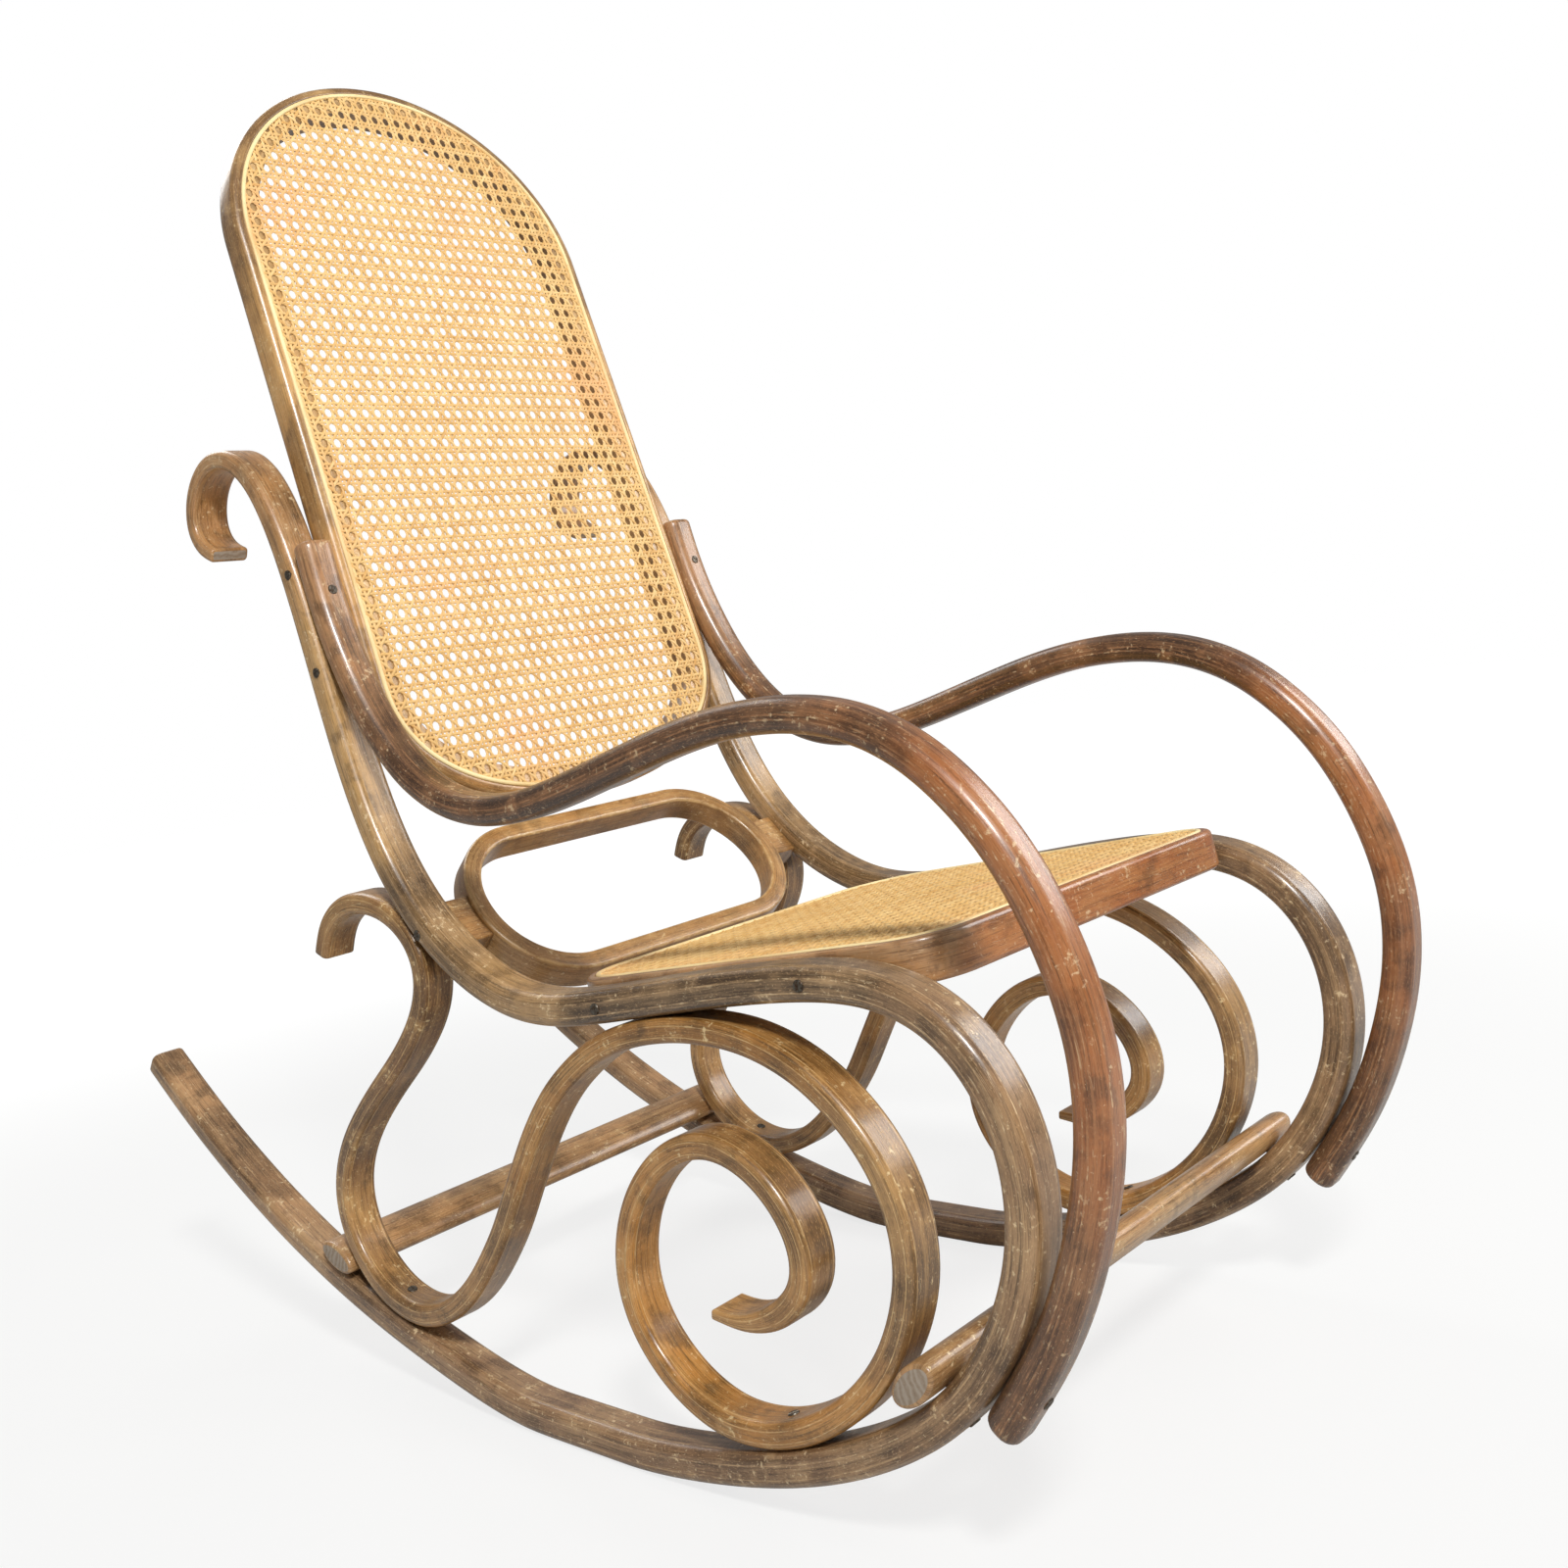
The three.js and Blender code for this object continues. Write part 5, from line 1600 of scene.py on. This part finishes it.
@dataclass
class Screws:
    """Slotted wood screws with raised heads, each on its node's axis.

    Attributes:
        steel: Their material.
        radius: Radius of the head.
        slot_width: Width of the slot.
        stand: How far the slot's floor stands out of the node's face.
        shank: Radius of the shank.
        first_turn: Angle of the first slot, in radians.
        turn_step: By how much each slot is turned from the one before.
        land_depths: Depths of the rings of a land, from its foot to its flat top.
        land_scales: Size of each of those rings.
        land_points: Points in a ring of a land.
        neck_depths: Depths at which the cone under the head starts and meets the shank.
        neck_shares: Radius at the slot's floor and at the cone's start, as shares of the head's.
        point: Length of the point, what is blunt of it, and the blunt end's radius.
        sides: Sides of the cone, shank and point.
    """

    steel: Material
    radius: float = 4.3 * MM
    slot_width: float = 1.1 * MM
    stand: float = 0.7 * MM
    shank: float = 2.2 * MM
    first_turn: float = 0.4
    turn_step: float = 1.7
    land_depths: tuple[float, ...] = (2.0 * MM, 0.25 * MM, 0.0, -0.5 * MM)
    land_scales: tuple[float, ...] = (1.0, 1.0, 0.93, 0.8)
    land_points: int = 17
    neck_depths: Pair = (2.0 * MM, 3.2 * MM)
    neck_shares: Pair = (0.97, 0.8)
    point: Triple = (2.0 * MM, 0.2 * MM, 0.3 * MM)
    sides: int = 24

    def axis(self, node: str) -> tuple[Array, Array, float]:
        """Finds a screw from its node's points: its long axis, and the end that is wider.

        Args:
            node: The node's name.

        Returns:
            The middle of the head's face, the unit direction into the wood, and the length.
        """
        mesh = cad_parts[node].data
        points = np.zeros(len(mesh.vertices) * 3)
        mesh.vertices.foreach_get("co", points)
        points = np.unique(points.reshape(-1, 3).round(6), axis=0)
        middle = points.mean(0)
        way = np.linalg.svd(points - middle)[2][0]
        along = (points - middle) @ way
        radial = np.linalg.norm(points - middle - along[:, None] * way, axis=1)
        if along[radial.argmax()] > 0:
            way, along = -way, -along
        return middle + along.min() * way, way, float(np.ptp(along))

    def build(self) -> None:
        """Makes every screw: two lands beside the slot, a floor under it, and a shank."""
        names = sorted(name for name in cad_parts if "screw" in name)
        for number, name in enumerate(names):
            face, way, length = self.axis(name)
            start = face - self.stand * way
            turn = self.first_turn + self.turn_step * number
            side = unit(np.cross(way, (0.0, 0.3, 1.0)))
            right = math.cos(turn) * side + math.sin(turn) * np.cross(way, side)
            axes = np.array([right, np.cross(right, way), way])
            surfaces = [self.land(start, axes, sign) for sign in (1.0, -1.0)]
            surfaces.append(self.turned(start, axes, length + self.stand))
            piece = mesh_piece(f"slotted_{name}", surfaces, [self.steel], 30.0)
            finish_piece(piece, Slot.SCREW, name)

    def land(self, start: Array, axes: Array, sign: float) -> Surface:
        """Half of the head beside the slot: a circle's segment raised in four steps.

        Args:
            start: Middle of the slot's floor.
            axes: Unit directions along the slot, across it and into the wood, a row each.
            sign: 1 or -1, for the side of the slot.

        Returns:
            The surface.
        """
        half = self.slot_width / 2
        low = math.asin(half / self.radius)
        angles = np.linspace(low, math.pi - low, self.land_points)
        rim = np.stack([np.cos(angles) * self.radius, np.sin(angles) * self.radius], axis=1)
        middle = rim.mean(0)
        depth = np.array(self.land_depths)
        flat = middle + (rim - middle)[None] * np.array(self.land_scales)[:, None, None]
        across = sign * np.maximum(flat[..., 1], half)
        into = np.broadcast_to(depth[:, None], across.shape)
        points = start + np.stack([flat[..., 0], across, into], axis=-1) @ axes
        return Surface(points, depth, np.arange(len(angles) + 1) * 0.5 * MM)

    def turned(self, start: Array, axes: Array, length: float) -> Surface:
        """The floor of the slot, the cone under the head, the shank and the point.

        Args:
            start: Middle of the slot's floor.
            axes: Unit directions along the slot, across it and into the wood, a row each.
            length: Length from the slot's floor to the point.

        Returns:
            The surface.
        """
        tip, blunt, blunt_radius = self.point
        depth = np.array([0.0, *self.neck_depths, length - tip, length - blunt])
        cone = [share * self.radius for share in self.neck_shares]
        radius = np.array([*cone, self.shank, self.shank, blunt_radius])
        angles = np.linspace(0, 2 * math.pi, self.sides, endpoint=False)
        circle = np.stack([np.cos(angles), np.sin(angles)], axis=1) @ axes[:2]
        points = start + depth[:, None, None] * axes[2] + radius[:, None, None] * circle
        return Surface(points, depth, np.arange(self.sides + 1) * MM)


@dataclass
class Studio:
    """Plain pale floor, soft lamps, and the camera at the photograph's viewing angle.

    Attributes:
        place: Where the camera stands.
        turn: How it is turned, in degrees.
        lens: Its focal length in millimetres.
        shift: What the photograph's framing needs.
        floor_size: Side of the floor.
        floor_tone: Colour of the floor.
        floor_glow: How bright the floor is to the camera far from the chair.
        glow_near: The share of that glow under the chair.
        glow_reach: Where the glow starts to rise and where it is full.
        soft_light: Strength of the even light on the chair.
        lamps: Each lamp's name, place, height that it faces, side length and watts.
    """

    place: Triple = (-1.0053, -1.0413, 0.5764)
    turn: Triple = (92.21, 8.1, -46.08)
    lens: float = 37.35
    shift: Pair = (0.05, -0.125)
    floor_size: float = 14.0
    floor_tone: str = "c8c8c5"
    floor_glow: float = 1.08
    glow_near: float = 0.72
    glow_reach: Pair = (0.9, 2.6)
    soft_light: float = 0.25
    lamps: tuple = (
        ("key", (-1.9, -2.6, 3.3), 0.5, 0.6, 146),
        ("sheen", (2.2, -1.6, 1.7), 0.5, 1.4, 36),
        ("rear", (0.4, 2.6, 2.9), 0.7, 1.6, 34),
    )

    def build(self) -> None:
        """Makes the floor, the world, the lamps and the camera."""
        self.floor()
        self.world()
        for lamp in self.lamps:
            self.lamp(*lamp)
        self.camera()

    def floor(self) -> None:
        """A wide pale floor that keeps the chair's shadow and goes to white for the camera."""
        half = self.floor_size / 2
        mesh = bpy.data.meshes.new("studio_floor")
        corners = [(-half, -half, 0), (half, -half, 0), (half, half, 0), (-half, half, 0)]
        mesh.from_pydata(corners, [], [(0, 1, 2, 3)])
        coat = Coat(bpy.data.materials.new("pale_floor"))
        reach = coat.add("VectorMath", "Value", {0: coat.place()}, operation="LENGTH")
        away = coat.stepped(reach, *self.glow_reach, least=self.glow_near)
        part = coat.combined("MULTIPLY", coat.seen_directly(), away)
        body = {"Base Color": linear(self.floor_tone), "Roughness": 0.9}
        glow = coat.add("Emission", "Emission", {"Color": WHITE, "Strength": self.floor_glow})
        shaders = {0: part, 1: coat.add("BsdfPrincipled", "BSDF", body), 2: glow}
        mesh.materials.append(coat.shaded(coat.add("MixShader", "Shader", shaders)))
        floor = bpy.data.objects.new("studio_floor", mesh)
        bpy.context.scene.collection.objects.link(floor)

    def world(self) -> None:
        """White to the camera, and an even soft light on the chair."""
        coat = Coat(bpy.data.worlds.new("studio"))
        strength = coat.spread(coat.seen_directly(), self.soft_light, 1.0)
        light = {"Color": WHITE, "Strength": strength}
        bpy.context.scene.world = coat.shaded(coat.add("Background", "Background", light))

    def lamp(
        self, name: str, place: Triple, aim: float, size: float, power: float,
    ) -> None:
        """Adds a square area lamp.

        Args:
            name: Name of the lamp.
            place: Where it hangs.
            aim: Height over the middle of the floor that it faces.
            size: Side length.
            power: Power in watts.
        """
        light = bpy.data.lights.new(name, "AREA")
        light.size = size
        light.energy = power
        lamp = bpy.data.objects.new(name, light)
        lamp.location = place
        way = Vector((0.0, 0.0, aim)) - Vector(place)
        lamp.rotation_euler = way.to_track_quat("-Z", "Y").to_euler()
        bpy.context.scene.collection.objects.link(lamp)

    def camera(self) -> None:
        """Sets the scene's camera."""
        data = bpy.data.cameras.new("camera")
        data.lens = self.lens
        data.sensor_width = 36.0
        data.shift_x, data.shift_y = self.shift
        camera = bpy.data.objects.new("camera", data)
        camera.location = self.place
        camera.rotation_euler = [math.radians(angle) for angle in self.turn]
        bpy.context.scene.collection.objects.link(camera)
        bpy.context.scene.camera = camera


def make_finishes() -> Finishes:
    """The material of every slot of the record.

    Returns:
        A material for each slot.
    """
    return {
        # Along the runner, the golden tones c2985f on the back post and bd8a56 on its curl are
        # painted sunlight; the dark tone 584229 makes the rail under the seat dark.
        Slot.ROCKER: BeechFinish(
            "stained_beech_rockers", "33210f", "b88c60", "cca678", "ecd2a6",
            (("927052", 0.2, 0.4), ("7a5b3e", 0.6, 0.9), ("947250", 1.02, 1.12),
             ("584229", 1.3, 1.42), ("a27e50", 1.58, 1.7), ("c2985f", 1.8, 1.95),
             ("bd8a56", 2.1, 2.2)),
            wear=0.9, nicks=0.9,
        ).material(),
        # The dark tone 5e3f27 at the arm's lower end is painted shade, and the dark 573b25 from
        # near the post over the top is a darker stain with painted shade in it; a86636 is the
        # redder stain of the front.
        Slot.ARM: BeechFinish(
            "stained_beech_arms", "301c0b", "b0845a", "b98458", "ecd0a4",
            (("573b25", 0.08, 0.22), ("a86636", 0.66, 0.82), ("5e3f27", 1.0, 1.14)),
            wear=0.7, nicks=0.7,
        ).material(),
        # The paler golden tones b0824e in the valley of the S and c08642 round the bottom of the
        # ring are golden stain with a painted highlight in it.
        Slot.SCROLL: BeechFinish(
            "stained_beech_scrolls", "3a260c", "8e6439", "d4a668", "f4daa4",
            (("865e36", 0.12, 0.2), ("b0824e", 0.42, 0.52), ("a87438", 0.7, 0.8),
             ("98744c", 1.12, 1.25), ("c08642", 1.34, 1.42), ("b0804a", 1.74, 1.84)),
            wear=1.0, nicks=0.8, crest=0.8,
        ).material(),
        Slot.HOOP: BeechFinish(
            "stained_beech_hoop", "5a3e1e", "b6834a", "d8ae72", "f2d8a6",
            (("cc9a5c", 0.5, 0.62), ("86623c", 0.92, 1.02)),
            Course.HEIGHT, wear=0.8, nicks=0.6, crest=0.4,
        ).material(),
        # The paler body tone b28c64 on the seat frame's right end (x below -0.18), the side facing
        # the camera, is painted sunlight; from x = -0.1 on, the frame has the orange-brown stain
        # a25820.
        Slot.SEAT: BeechFinish(
            "stained_beech_seat", "4a280c", "b28c64", "c48c54", "eed0a4",
            (("a25820", -0.18, -0.1),), Course.ACROSS, wear=0.7, nicks=0.7, crest=0.4,
        ).material(),
        Slot.STRETCHER: BeechFinish(
            "stained_beech_rails", "4c3218", "be8f5e", "dab47e", "f4dcae",
            (("bc8e5e", -0.2, 0.0),), Course.DEPTH, wear=0.6, nicks=1.0,
        ).material(),
        Slot.CANE: CaneFinish("rattan_cane").material(),
        Slot.SPLINE: CaneFinish("rattan_reed", "ffecb4", "f8d890", "dcb068", "f0be84").material(),
        Slot.SCREW: SteelFinish().material(),
    }


def main() -> None:
    """Builds the chair's pieces in order, then the studio."""
    logging.basicConfig(level=logging.INFO, format="%(name)s: %(message)s")
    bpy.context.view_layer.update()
    finishes = make_finishes()
    end_grain = EndGrainFinish().material()
    lines = SideLines()
    for side in Side:
        SideFrame(side, lines, finishes, end_grain).build()
    Back(lines, finishes).build()
    Seat(lines, finishes).build()
    LowerRing(lines, finishes).build()
    Stretchers(lines, finishes, end_grain).build()
    Screws(finishes[Slot.SCREW]).build()
    Studio().build()
    bpy.context.scene.view_settings.view_transform = "Standard"
    bpy.context.view_layer.update()


if __name__ == "__main__":
    main()
